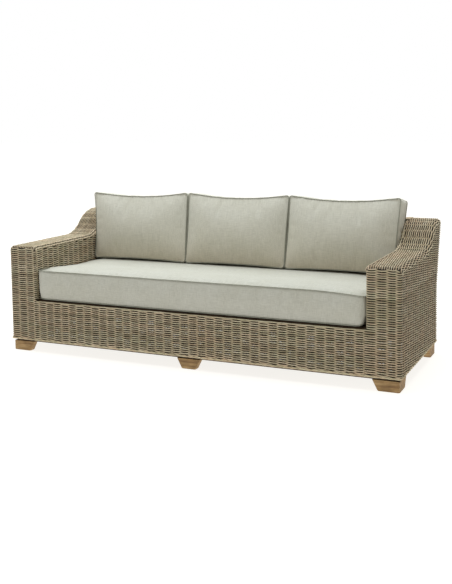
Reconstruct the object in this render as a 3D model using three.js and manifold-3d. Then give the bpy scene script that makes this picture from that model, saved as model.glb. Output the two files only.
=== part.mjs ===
// Rattan garden sofa: woven rattan skins on a hardwood frame with six tapered feet,
// a loose bench seat cushion and three loose back cushions.
// Millimetres, +Z up. The front faces -Y and the origin is on the floor, under the middle.
import Module from 'manifold-3d';
import * as THREE from 'three';
import { mergeVertices } from 'three/addons/utils/BufferGeometryUtils.js';

// Overall sizes. Depths are measured back from the woven front face.
const overallWidth = 2300;
const bodyDepth = 824;
const armWidth = 176;
const armHeight = 608;
const backHeight = 750;
const apronHeight = 303;
const footHeight = 55;
const degree = Math.PI / 180;

// The arm top sweeps up to the back in an S of two equal arcs, ahead of a flat at the rear
const sweepLength = 330;
const sweepRearFlat = 58;

// The back: its outer face stands straight and then rakes, its inner face leans
const rakeStart = 330;
const rakeRadius = 400;
const rakeAngle = 16.5 * degree;
const leanAngle = 10 * degree;
const backTopThickness = 110;

// Woven skins, their rolled edges and the wale along the bottom rim
const weaveThickness = 16;
const skinEdgeRadius = 10;
const cornerRadius = 13;
const braidRounding = 5;
const waleGap = 8;
const waleHeight = 14;
const waleProud = 3;
const waleRounding = 4;

// Hardwood frame
const railThickness = 30;
const railWidth = 40;
const postWidth = 30;
const slatThickness = 18;
const slatWidth = 100;
const slatCount = 5;
const seatRailLip = 10;
const ribSpacing = 650;

// Feet
const footSize = 138;
const footBoard = 40;
const footTaper = 28;
const footInset = 5;
const footEase = 3;

// Cushions
const seatCushionThickness = 160;
const seatCushionInset = 8;
const seatCushionEndGap = 9;
const seatCushionRearGap = 4;
const seatCrown = 7;
const seatUnderCrown = 4;
const backCushionNames = ['left', 'middle', 'right'];
const backCushionHeight = 386;
const backCushionThickness = 150;
const backCushionGap = 9;
const backCrown = 28;
const backRearCrown = 3;
const backTopDip = 15;
const backSideDrawIn = 5;
const seatSideDrawIn = 2;
const cushionCornerRadius = 28;
const bandBulge = 3;
const pipingSize = 4;

// Main relief of the weave: flat columns with shallow troughs between them, inside a plain margin
const columnPitch = 121;
const troughShare = 0.5;
const troughDepth = 5;
const troughMargin = 26;

// Clearance between pieces that touch, and how far a cut runs past what it cuts
const fit = 0.3;
const cutOverrun = 5;
const cushionRest = 0.5;

// Facets
const sweepSteps = 9;
const rakeSteps = 4;
const edgeSteps = 3;
const rollSteps = 2;
const cornerLimitShare = 0.9;
const seatColumns = 24;
const seatRows = 10;
const backColumns = 14;
const backRows = 10;

// Sizes that follow
const halfWidth = overallWidth / 2;
const seatHalfWidth = halfWidth - armWidth;
const rearTop = rearFace(0, backHeight);
const sweepEnd = rearTop - sweepRearFlat;
const sweepStart = sweepEnd - sweepLength;
const sweepRise = backHeight - armHeight;
const sweepRadius = (sweepLength ** 2 + sweepRise ** 2) / (4 * sweepRise);
const sweepAngle = 2 * Math.atan(sweepRise / sweepLength);
const skinDepth = weaveThickness + fit;
const railDepth = skinDepth + railWidth;
const waleBottom = footHeight + waleGap;
const waleTop = waleBottom + waleHeight;
const skinBottom = waleTop + fit;
const baseTop = footHeight + railThickness;
const slatBottom = apronHeight - slatThickness;
const seatRailTop = slatBottom - fit;
const seatRailBottom = seatRailTop - railWidth;
const outerPostX = halfWidth - skinDepth - postWidth;
const innerPostX = seatHalfWidth + skinDepth;
const frameFront = skinDepth;
const frameRear = bodyDepth - skinDepth;
const ribFront = frameRear - railWidth;
const frameInnerX = innerPostX - fit;
const depthMiddle = (rearTop - waleProud) / 2;

// Materials
const colours = {
  weave: 0x9c8f76,
  braid: 0xa99c82,
  hardwood: 0x7d6448,
  oak: 0xa5825a,
  fabric: 0xc9c7b9,
};

function weaveMaterial() {
  return new THREE.MeshStandardMaterial({ color: colours.weave, roughness: 0.75, metalness: 0 });
}

function braidMaterial() {
  return new THREE.MeshStandardMaterial({ color: colours.braid, roughness: 0.75, metalness: 0 });
}

function hardwoodMaterial() {
  return new THREE.MeshStandardMaterial({ color: colours.hardwood, roughness: 0.7, metalness: 0 });
}

function oakMaterial() {
  return new THREE.MeshStandardMaterial({ color: colours.oak, roughness: 0.6, metalness: 0 });
}

function fabricMaterial() {
  return new THREE.MeshStandardMaterial({ color: colours.fabric, roughness: 0.95, metalness: 0 });
}

const sofa = new THREE.Group();
sofa.position.y = -depthMiddle;

// Side profile, as points with x = depth from the front and y = height

function point(depth, height) {
  return new THREE.Vector2(depth, height);
}

function arc(centre, radius, fromAngle, toAngle, steps) {
  const points = [];
  for (let step = 0; step <= steps; step += 1) {
    const angle = fromAngle + ((toAngle - fromAngle) * step) / steps;
    points.push(point(centre.x + radius * Math.cos(angle), centre.y + radius * Math.sin(angle)));
  }
  return points;
}

// The swept arm top at a distance under its surface, front to rear
function sweepLine(under) {
  const right = Math.PI / 2;
  const lowerCentre = point(sweepStart, armHeight + sweepRadius);
  const upperCentre = point(sweepEnd, backHeight - sweepRadius);
  const lower = arc(lowerCentre, sweepRadius + under, -right, sweepAngle - right, sweepSteps);
  const upper = arc(upperCentre, sweepRadius - under, right + sweepAngle, right, sweepSteps);
  return [...lower, ...upper.slice(1)];
}

// The part of a swept line that lies ahead of a face, front to rear
function sweepLineAheadOf(face, under) {
  const line = [...sweepLine(under), point(rearTop, backHeight - under)];
  const ahead = line.filter((place) => place.x < face(place.y));
  const last = ahead[ahead.length - 1];
  const next = line[ahead.length];
  const lastGap = face(last.y) - last.x;
  const nextGap = next.x - face(next.y);
  return [...ahead, last.clone().lerp(next, lastGap / (lastGap + nextGap))];
}

// Height of the upper arc of the sweep, and of the flat behind it, at a distance under the surface
function sweepHeight(depth, under) {
  const ahead = Math.max(sweepEnd - depth, 0);
  const facetSag = (sweepRadius - under) * (1 - Math.cos(sweepAngle / sweepSteps / 2));
  return backHeight - sweepRadius + Math.sqrt((sweepRadius - under) ** 2 - ahead ** 2) - facetSag;
}

// Depth of the rear face at a height, at a distance inside the surface
function rearFace(inside, height) {
  const radius = rakeRadius + inside;
  const rakedFrom = rakeStart + radius * Math.sin(rakeAngle);
  const straight = bodyDepth + rakeRadius - radius * Math.cos(rakeAngle);
  return straight + (height - rakedFrom) * Math.tan(rakeAngle);
}

// The rear face from a height in its straight part up to one in its raked part
function rearLine(inside, fromHeight, toHeight) {
  const centre = point(bodyDepth + rakeRadius, rakeStart);
  const bend = arc(centre, rakeRadius + inside, Math.PI, Math.PI - rakeAngle, rakeSteps);
  return [point(bodyDepth - inside, fromHeight), ...bend, point(rearFace(inside, toHeight), toHeight)];
}

// Depth of the leaning inner face of the back at a height, at a distance behind its surface
function backFace(behind, height) {
  const top = rearTop - backTopThickness;
  return top - (backHeight - height) * Math.tan(leanAngle) + behind / Math.cos(leanAngle);
}

// The place just ahead of that inner face
function aheadOfBack(height) {
  return backFace(-fit, height);
}

// A rounded corner between two points, limited by the shorter edge beside it
function roundedCorner(before, corner, after, radius) {
  const shorter = Math.min(corner.distanceTo(before), corner.distanceTo(after));
  const reach = Math.min(radius, cornerLimitShare * shorter);
  const start = corner.clone().add(before.clone().sub(corner).setLength(reach));
  const end = corner.clone().add(after.clone().sub(corner).setLength(reach));
  return new THREE.QuadraticBezierCurve(start, corner, end).getPoints(edgeSteps);
}

// Solids

function addPiece(name, geometry, material) {
  const mesh = new THREE.Mesh(geometry, material);
  mesh.name = name;
  sofa.add(mesh);
  return mesh;
}

const wasm = await Module();
wasm.setup();

// A closed geometry as a solid that can be cut
function toSolid(geometry) {
  const bare = geometry.clone();
  bare.deleteAttribute('normal');
  bare.deleteAttribute('uv');
  const merged = mergeVertices(bare);
  return new wasm.Manifold(new wasm.Mesh({
    numProp: 3,
    vertProperties: merged.attributes.position.array,
    triVerts: Uint32Array.from(merged.index.array),
  }));
}

// What is left of a geometry when others are cut away
function cutGeometry(geometry, cutters) {
  const left = cutters.reduce((solid, cutter) => solid.subtract(toSolid(cutter)), toSolid(geometry));
  const mesh = left.getMesh();
  const cut = new THREE.BufferGeometry();
  cut.setAttribute('position', new THREE.Float32BufferAttribute(mesh.vertProperties, 3));
  cut.setIndex([...mesh.triVerts]);
  cut.computeVertexNormals();
  return cut;
}

// A box between two corners, each given as across, depth and height
function addBlock(name, material, from, to) {
  const size = to.map((value, axis) => value - from[axis]);
  const mesh = addPiece(name, new THREE.BoxGeometry(...size), material);
  mesh.position.set(...from.map((value, axis) => value + size[axis] / 2));
  return mesh;
}

// Turns a side profile, drawn as depth and height, to stand across the sofa
const acrossBasis = new THREE.Matrix4().makeBasis(
  new THREE.Vector3(0, 1, 0),
  new THREE.Vector3(0, 0, 1),
  new THREE.Vector3(1, 0, 0),
);

// A side profile drawn across the sofa from one x to another
function addProfile(name, material, outline, fromX, toX) {
  const geometry = new THREE.ExtrudeGeometry(new THREE.Shape(outline), {
    depth: toX - fromX,
    bevelEnabled: false,
  });
  geometry.applyMatrix4(acrossBasis);
  const mesh = addPiece(name, geometry, material);
  mesh.position.x = fromX;
  return mesh;
}

// An upright prism over a plan outline
function addUpright(name, material, outline, fromHeight, toHeight) {
  const geometry = new THREE.ExtrudeGeometry(new THREE.Shape(outline), {
    depth: toHeight - fromHeight,
    bevelEnabled: false,
  });
  const mesh = addPiece(name, geometry, material);
  mesh.position.z = fromHeight;
  return mesh;
}

// The same span of x on the left or the right side
function sideSpan(side, nearX, farX) {
  return side < 0 ? [-farX, -nearX] : [nearX, farX];
}

// Triangles across a flat ring, all anticlockwise
function capTriangles(ring) {
  return THREE.ShapeUtils.triangulateShape(ring, []).map(([a, b, c]) => {
    const turn = ring[b].clone().sub(ring[a]).cross(ring[c].clone().sub(ring[a]));
    return turn.z > 0 ? [a, b, c] : [a, c, b];
  });
}

// A closed body through level rings of points, each ring anticlockwise from above
function loftGeometry(rings) {
  const count = rings[0].length;
  const positions = rings.flat().flatMap((corner) => corner.toArray());
  const index = [];
  for (let ring = 0; ring + 1 < rings.length; ring += 1) {
    for (let step = 0; step < count; step += 1) {
      const here = ring * count + step;
      const next = ring * count + ((step + 1) % count);
      index.push(here, next, next + count, here, next + count, here + count);
    }
  }
  const topRing = (rings.length - 1) * count;
  for (const [a, b, c] of capTriangles(rings[0])) {
    index.push(a, c, b, topRing + a, topRing + b, topRing + c);
  }
  const geometry = new THREE.BufferGeometry();
  geometry.setAttribute('position', new THREE.Float32BufferAttribute(positions, 3));
  geometry.setIndex(index);
  geometry.computeVertexNormals();
  return geometry;
}

// A side profile whose edges are rolled: the outline at an inset is drawn at each step of the roll
function addRolledProfile(name, material, outlineAt, fromX, toX) {
  const rings = [];
  for (let step = 0; step <= rollSteps; step += 1) {
    const turn = ((Math.PI / 2) * step) / rollSteps;
    const outline = outlineAt(braidRounding * (1 - Math.sin(turn)));
    const across = braidRounding * (1 - Math.cos(turn));
    rings.push([across, outline], [toX - fromX - across, outline]);
  }
  rings.sort((one, other) => one[0] - other[0]);
  const geometry = loftGeometry(rings.map(([across, outline]) => {
    return outline.map((place) => new THREE.Vector3(place.x, place.y, across)).reverse();
  }));
  geometry.applyMatrix4(acrossBasis);
  const mesh = addPiece(name, geometry, material);
  mesh.position.x = fromX;
  return mesh;
}

const sides = [['left', -1], ['right', 1]];

// Feet: boards that taper towards the floor, joined in an L under each corner of the sofa

// A closed outline with every corner cut back by an ease
function easedOutline(corners, ease) {
  return corners.flatMap((corner, place) => {
    const before = corners[(place + corners.length - 1) % corners.length];
    const after = corners[(place + 1) % corners.length];
    return [before, after].map((other) => {
      return corner.clone().add(other.clone().sub(corner).setLength(ease));
    });
  });
}

// Plan of a foot at a height. It is drawn from the outer corner inwards, or from the middle
// of the sofa outwards, and mirrored to its place.
function footRing(sideX, sideY, height, ease) {
  const drawIn = footTaper * (1 - height / footHeight);
  const middleReach = footSize / 2 - drawIn;
  const cornerReach = footSize - drawIn;
  const board = [
    [-middleReach, 0], [middleReach, 0], [middleReach, footBoard], [-middleReach, footBoard],
  ];
  const bracket = [
    [0, 0], [cornerReach, 0], [cornerReach, footBoard],
    [footBoard, footBoard], [footBoard, cornerReach], [0, cornerReach],
  ];
  const outerX = sideX === 0 ? 0 : halfWidth - footInset;
  const outerY = bodyDepth / 2 - footInset;
  const mirrorX = sideX > 0 ? 1 : -1;
  const corners = (sideX === 0 ? board : bracket).map(([inX, inY]) => {
    const x = mirrorX * (outerX - inX);
    return new THREE.Vector3(x, bodyDepth / 2 + sideY * (outerY - inY), height);
  });
  return easedOutline(mirrorX === sideY ? corners : corners.reverse(), ease);
}

function addFeet() {
  for (const [row, sideY] of [['front', -1], ['rear', 1]]) {
    for (const [column, sideX] of [['left', -1], ['middle', 0], ['right', 1]]) {
      const rings = [
        footRing(sideX, sideY, 0, 2 * footEase),
        footRing(sideX, sideY, footEase, footEase),
        footRing(sideX, sideY, footHeight - fit, footEase),
      ];
      addPiece(`foot_${row}_${column}`, loftGeometry(rings), oakMaterial());
    }
  }
}

// Base frame over the feet
function addBaseRails() {
  const sideInnerX = outerPostX + postWidth - railWidth;
  const crossX = sideInnerX - fit;
  const frontRear = frameFront + railWidth;
  const rearFront = frameRear - railWidth;
  for (const [row, from, to] of [['front', frameFront, frontRear], ['rear', rearFront, frameRear]]) {
    const corner = [-crossX, from, footHeight];
    addBlock(`base_rail_${row}`, hardwoodMaterial(), corner, [crossX, to, baseTop]);
  }
  for (const [side, sign] of sides) {
    const [left, right] = sideSpan(sign, sideInnerX, sideInnerX + railWidth);
    const corner = [left, frameFront, footHeight];
    addBlock(`base_rail_${side}`, hardwoodMaterial(), corner, [right, frameRear, baseTop]);
  }
  const centreFrom = [-railWidth / 2, frontRear + fit, footHeight];
  addBlock('base_rail_centre', hardwoodMaterial(), centreFrom, [railWidth / 2, rearFront - fit, baseTop]);
}

// Seat frame: rails at the deck and the long slats on them
function addSeatFrame() {
  const frontRear = frameFront + railWidth;
  const rearFrom = backFace(0, slatBottom) - seatRailLip;
  const crossRails = [
    ['front', frameFront, frontRear],
    ['rear', rearFrom, ribFront - fit],
  ];
  for (const [row, from, to] of crossRails) {
    const corner = [-frameInnerX, from, seatRailBottom];
    addBlock(`seat_rail_${row}`, hardwoodMaterial(), corner, [frameInnerX, to, seatRailTop]);
  }
  const runRails = [
    ['left', -frameInnerX],
    ['centre', -railWidth / 2],
    ['right', frameInnerX - railWidth],
  ];
  for (const [column, left] of runRails) {
    const from = [left, frontRear + fit, seatRailBottom];
    const to = [left + railWidth, rearFrom - fit, seatRailTop];
    addBlock(`seat_rail_${column}`, hardwoodMaterial(), from, to);
  }
  const deckFront = frameFront;
  const slatPitch = (rearFrom - slatWidth - deckFront) / (slatCount - 1);
  for (let slat = 0; slat < slatCount; slat += 1) {
    const front = deckFront + slat * slatPitch;
    const endX = seatHalfWidth - fit;
    const corner = [endX, front + slatWidth, apronHeight];
    addBlock(`seat_slat_${slat + 1}`, hardwoodMaterial(), [-endX, front, slatBottom], corner);
  }
}

// Arm frame: front posts, swept top rails and raked rear posts
function addArmFrames() {
  const postFront = (height) => rearFace(railDepth + fit, height);
  const railOutline = [
    point(frameFront, armHeight - skinDepth),
    ...sweepLineAheadOf(postFront, skinDepth),
    ...sweepLineAheadOf(postFront, railDepth).reverse(),
    point(frameFront, armHeight - railDepth),
  ];
  const postTop = sweepHeight(rearFace(railDepth, backHeight - skinDepth), skinDepth);
  const rearPost = [
    ...rearLine(skinDepth, baseTop + fit, postTop),
    ...rearLine(railDepth, baseTop + fit, postTop).reverse(),
  ];
  for (const [side, sign] of sides) {
    for (const [place, nearX] of [['outer', outerPostX], ['inner', innerPostX]]) {
      const [left, right] = sideSpan(sign, nearX, nearX + postWidth);
      const postFrom = [left, frameFront, baseTop + fit];
      const postTo = [right, frameFront + railWidth, armHeight - railDepth - fit];
      addBlock(`arm_post_${side}_${place}`, hardwoodMaterial(), postFrom, postTo);
      addProfile(`arm_rail_${side}_${place}`, hardwoodMaterial(), railOutline, left, right);
    }
    const [left, right] = sideSpan(sign, outerPostX, outerPostX + postWidth);
    addProfile(`rear_post_${side}`, hardwoodMaterial(), rearPost, left, right);
  }
}

// Back frame: ribs shaped between the two skins, under one top rail
function addBackFrame() {
  const topRailUnder = backHeight - railDepth;
  const ribTop = topRailUnder - fit;
  const ribBend = backHeight + (ribFront - backFace(skinDepth, backHeight)) / Math.tan(leanAngle);
  const ribOutline = [
    ...rearLine(skinDepth, baseTop + fit, ribTop),
    point(backFace(skinDepth, ribTop), ribTop),
    point(ribFront, ribBend),
    point(ribFront, baseTop + fit),
  ];
  const ribPlaces = [
    ['left_end', -frameInnerX],
    ['left', -(ribSpacing + postWidth) / 2],
    ['right', (ribSpacing - postWidth) / 2],
    ['right_end', frameInnerX - postWidth],
  ];
  for (const [place, left] of ribPlaces) {
    addProfile(`back_rib_${place}`, hardwoodMaterial(), ribOutline, left, left + postWidth);
  }
  const topRailTop = backHeight - skinDepth;
  const topRail = [
    point(backFace(skinDepth, topRailUnder), topRailUnder),
    point(rearFace(skinDepth, topRailUnder), topRailUnder),
    point(rearFace(skinDepth, topRailTop), topRailTop),
    point(backFace(skinDepth, topRailTop), topRailTop),
  ];
  addProfile('back_top_rail', hardwoodMaterial(), topRail, -frameInnerX, frameInnerX);
}

// Places of the troughs along a span, each as its start and end
function troughSpans(from, to) {
  const room = to - from - 2 * troughMargin;
  const count = Math.max(1, Math.round(room / columnPitch));
  const pitch = room / count;
  const width = pitch * troughShare;
  return Array.from({ length: count }, (_, index) => {
    const start = from + troughMargin + pitch * index + (pitch - width) / 2;
    return [start, start + width];
  });
}

// A trough cutter: a side profile drawn across a skin, from one x to another within it
function troughCutter(outline, fromX, toX) {
  const geometry = new THREE.ExtrudeGeometry(new THREE.Shape(outline), {
    depth: toX - fromX,
    bevelEnabled: false,
  });
  geometry.applyMatrix4(acrossBasis);
  geometry.translate(fromX, 0, 0);
  return geometry;
}

// Height of the arm top at a depth, at a distance under its surface
function armTopHeight(depth, under) {
  const line = [point(0, armHeight - under), ...sweepLine(under), point(rearTop, backHeight - under)];
  const after = line.findIndex((place) => place.x > depth);
  const [low, high] = [line[after - 1], line[after]];
  return low.y + ((high.y - low.y) * (depth - low.x)) / (high.x - low.x);
}

// Woven skins of the front: the apron under the seat and the two arm fronts
function addFrontSkins() {
  const apronX = seatHalfWidth - fit;
  const apronOutline = [
    point(0, skinBottom),
    point(weaveThickness, skinBottom),
    point(weaveThickness, apronHeight),
    point(0, apronHeight),
  ];
  const apronTrough = [
    point(-cutOverrun, skinBottom + troughMargin),
    point(troughDepth, skinBottom + troughMargin),
    point(troughDepth, apronHeight - troughMargin),
    point(-cutOverrun, apronHeight - troughMargin),
  ];
  const apron = addProfile('apron_weave', weaveMaterial(), apronOutline, -apronX, apronX);
  const apronCutters = troughSpans(0, 2 * apronX).map((span) => troughCutter(apronTrough, ...span));
  apron.geometry = cutGeometry(apron.geometry, apronCutters);
  const top = armHeight - skinDepth;
  for (const [side, sign] of sides) {
    const nearX = sign * seatHalfWidth;
    const farX = sign * halfWidth;
    const frontFar = point(farX, 0);
    const frontNear = point(nearX, 0);
    const rearFar = point(farX, weaveThickness);
    const rearNear = point(nearX, weaveThickness);
    const outline = [
      ...roundedCorner(rearNear, frontNear, frontFar, skinEdgeRadius),
      ...roundedCorner(frontNear, frontFar, rearFar, cornerRadius),
      rearFar,
      rearNear,
    ];
    addUpright(`arm_front_weave_${side}`, weaveMaterial(), outline, skinBottom, top);
  }
}

// Woven skins of the arm sides, under the rolled edges
function addArmSideSkins() {
  const topOutside = backHeight - skinDepth;
  const outerOutline = [
    point(frameFront, skinBottom),
    ...rearLine(0, skinBottom, topOutside),
    ...sweepLine(skinDepth).reverse(),
    point(frameFront, armHeight - skinDepth),
  ];
  const innerOutline = [
    point(frameFront, slatBottom),
    point(aheadOfBack(slatBottom), slatBottom),
    ...sweepLineAheadOf(aheadOfBack, skinDepth).reverse(),
    point(frameFront, armHeight - skinDepth),
  ];
  const troughUnder = skinDepth + troughMargin;
  const sideTroughs = troughSpans(frameFront, bodyDepth).map(([start, end]) => [
    point(start, skinBottom + troughMargin),
    point(end, skinBottom + troughMargin),
    point(end, armTopHeight(end, troughUnder)),
    point(start, armTopHeight(start, troughUnder)),
  ]);
  const troughFace = (sign) => {
    const inside = weaveThickness - troughDepth;
    return sign < 0 ? [-cutOverrun, troughDepth] : [inside, weaveThickness + cutOverrun];
  };
  for (const [side, sign] of sides) {
    const [outerLeft, outerRight] = sideSpan(sign, halfWidth - weaveThickness, halfWidth);
    const outer = addProfile(`arm_outer_weave_${side}`, weaveMaterial(), outerOutline, outerLeft, outerRight);
    outer.geometry = cutGeometry(outer.geometry, sideTroughs.map((outline) => {
      return troughCutter(outline, ...troughFace(sign));
    }));
    const [innerLeft, innerRight] = sideSpan(sign, seatHalfWidth, seatHalfWidth + weaveThickness);
    addProfile(`arm_inner_weave_${side}`, weaveMaterial(), innerOutline, innerLeft, innerRight);
  }
}

// Outline of an arm top at an inset from its faces: up the front, along the sweep to the raked
// rear face, and back along the underside
function armTopOutline(inset) {
  const alongTop = sweepLine(inset);
  const frontBottom = point(inset, armHeight - weaveThickness + inset);
  const frontCorner = point(inset, armHeight - inset);
  const cornerHeight = backHeight - inset;
  const bottomHeight = backHeight - weaveThickness + inset;
  const rearCorner = point(rearFace(inset, cornerHeight), cornerHeight);
  const rearBottom = point(rearFace(inset, bottomHeight), bottomHeight);
  const radius = skinEdgeRadius - inset;
  return [
    frontBottom,
    ...roundedCorner(frontBottom, frontCorner, alongTop[0], radius),
    ...alongTop,
    ...roundedCorner(alongTop[alongTop.length - 1], rearCorner, rearBottom, radius),
    rearBottom,
    ...sweepLine(weaveThickness - inset).reverse(),
  ];
}

// Everything from just ahead of the back's inner face to past its rear, to cut inner edges with
function behindBackFace(length) {
  const top = backHeight + cutOverrun;
  const outline = [
    point(aheadOfBack(slatBottom), slatBottom),
    point(rearTop + cutOverrun, slatBottom),
    point(rearTop + cutOverrun, top),
    point(aheadOfBack(top), top),
  ];
  const geometry = new THREE.ExtrudeGeometry(new THREE.Shape(outline), {
    depth: length + 2 * cutOverrun,
    bevelEnabled: false,
  });
  geometry.translate(0, 0, -cutOverrun);
  geometry.applyMatrix4(acrossBasis);
  return geometry;
}

// Woven skins along the arm tops and the rolled edges on both sides of them
function addArmTops() {
  const topOutline = armTopOutline(0);
  const behindBack = behindBackFace(weaveThickness);
  for (const [side, sign] of sides) {
    const topNear = seatHalfWidth + skinDepth;
    const topFar = halfWidth - skinDepth;
    const [topLeft, topRight] = sideSpan(sign, topNear, topFar);
    addProfile(`arm_top_weave_${side}`, weaveMaterial(), topOutline, topLeft, topRight);
    const [outerLeft, outerRight] = sideSpan(sign, halfWidth - weaveThickness, halfWidth);
    const outerName = `arm_edge_braid_${side}_outer`;
    addRolledProfile(outerName, braidMaterial(), armTopOutline, outerLeft, outerRight);
    const [innerLeft, innerRight] = sideSpan(sign, seatHalfWidth, seatHalfWidth + weaveThickness);
    const innerName = `arm_edge_braid_${side}_inner`;
    const inner = addRolledProfile(innerName, braidMaterial(), armTopOutline, innerLeft, innerRight);
    inner.geometry = cutGeometry(inner.geometry, [behindBack]);
  }
}

// Woven skins of the back: raked outside, leaning inside and the flat top
function addBackSkins() {
  const skinTop = backHeight - skinDepth;
  const outerOutline = [
    ...rearLine(0, skinBottom, skinTop),
    ...rearLine(weaveThickness, skinBottom, skinTop).reverse(),
  ];
  const outerX = halfWidth - skinDepth;
  const outer = addProfile('back_outer_weave', weaveMaterial(), outerOutline, -outerX, outerX);
  const troughBottom = skinBottom + troughMargin;
  const troughTop = skinTop - troughMargin;
  const rearTrough = [
    ...rearLine(-cutOverrun, troughBottom, troughTop),
    ...rearLine(troughDepth, troughBottom, troughTop).reverse(),
  ];
  outer.geometry = cutGeometry(outer.geometry, troughSpans(0, 2 * outerX).map((span) => {
    return troughCutter(rearTrough, ...span);
  }));
  const innerOutline = [
    point(backFace(0, slatBottom), slatBottom),
    point(backFace(weaveThickness, slatBottom), slatBottom),
    point(backFace(weaveThickness, skinTop), skinTop),
    point(backFace(0, skinTop), skinTop),
  ];
  addProfile('back_inner_weave', weaveMaterial(), innerOutline, -frameInnerX, frameInnerX);
  const topBottom = backHeight - weaveThickness;
  const frontBottom = point(backFace(0, topBottom), topBottom);
  const frontCorner = point(backFace(0, backHeight), backHeight);
  const rearCorner = point(rearTop, backHeight);
  const rearBottom = point(rearFace(0, topBottom), topBottom);
  const topOutline = [
    frontBottom,
    ...roundedCorner(frontBottom, frontCorner, rearCorner, skinEdgeRadius),
    ...roundedCorner(frontCorner, rearCorner, rearBottom, skinEdgeRadius),
    rearBottom,
  ];
  addProfile('back_top_weave', weaveMaterial(), topOutline, -frameInnerX, frameInnerX);
}

// The twisted wale along the bottom rim, a rounded bar on each side
function waleSection(innerEdge, outerEdge) {
  const corners = [
    point(innerEdge, waleBottom),
    point(outerEdge, waleBottom),
    point(outerEdge, waleTop),
    point(innerEdge, waleTop),
  ];
  return [
    corners[0],
    ...roundedCorner(corners[0], corners[1], corners[2], waleRounding),
    ...roundedCorner(corners[1], corners[2], corners[3], waleRounding),
    corners[3],
  ];
}

function addWales() {
  const outX = halfWidth + waleProud;
  const frontSection = waleSection(weaveThickness, -waleProud).reverse();
  addProfile('wale_front', braidMaterial(), frontSection, -outX, outX);
  const rearSection = waleSection(bodyDepth - weaveThickness, bodyDepth + waleProud);
  addProfile('wale_rear', braidMaterial(), rearSection, -outX, outX);
  for (const [side, sign] of sides) {
    const section = waleSection(sign * (halfWidth - weaveThickness), sign * outX);
    const outline = sign < 0 ? section.reverse() : section;
    const length = frameRear - frameFront;
    const geometry = new THREE.ExtrudeGeometry(new THREE.Shape(outline), {
      depth: length,
      bevelEnabled: false,
    });
    geometry.rotateX(Math.PI / 2);
    const mesh = addPiece(`wale_${side}`, geometry, braidMaterial());
    mesh.position.y = frameRear;
  }
}

// Cushions: piped box cushions with crowned faces, rounded corners and drawn-in sides

// Grid stops in a rounded corner, as shares of its radius
const cornerStopShares = [0, 0.35];

// Plan position of a grid place, with u and v from -1 to 1
function cushionPlan(cushion, u, v) {
  let x = (u * cushion.width) / 2;
  let y = (v * cushion.height) / 2;
  const cornerX = Math.abs(x) - (cushion.width / 2 - cushionCornerRadius);
  const cornerY = Math.abs(y) - (cushion.height / 2 - cushionCornerRadius);
  if (cornerX > 0 && cornerY > 0) {
    const pull = Math.max(cornerX, cornerY) / Math.hypot(cornerX, cornerY) - 1;
    x += Math.sign(x) * cornerX * pull;
    y += Math.sign(y) * cornerY * pull;
  }
  const sideways = cushion.drawIn * u * (1 - v ** 2);
  const dip = (v > 0 ? cushion.topDip : 0) * v * (1 - u ** 2);
  return [x - sideways, y - dip];
}

// Share of the crown at a place: full over the middle, falling off near the edges
function crownShare(u, v) {
  return (1 - u ** 4) * (1 - v ** 4);
}

// Grid stops from -1 to 1 along a side, closer together through the rounded corners
function gridStops(length, count) {
  const corner = (2 * cushionCornerRadius) / length;
  const ends = cornerStopShares.map((share) => share * corner - 1);
  const inner = count - 2 * ends.length;
  const stops = [...ends];
  for (let step = 0; step <= inner; step += 1) {
    stops.push((1 - corner) * ((2 * step) / inner - 1));
  }
  return [...stops, ...ends.map((stop) => -stop).reverse()];
}

// Grid places in order round the edge, anticlockwise
function edgePlaces(columns, rows) {
  const places = [];
  for (let column = 0; column < columns; column += 1) places.push([column, 0]);
  for (let row = 0; row < rows; row += 1) places.push([columns, row]);
  for (let column = columns; column > 0; column -= 1) places.push([column, rows]);
  for (let row = rows; row > 0; row -= 1) places.push([0, row]);
  return places;
}

// Piping at a seam as shares of its size: how far out of the edge, and how far past the face
const pipingShares = [[-1, 0], [0.2, 0.9], [1, -0.2], [0, -1]];

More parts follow.
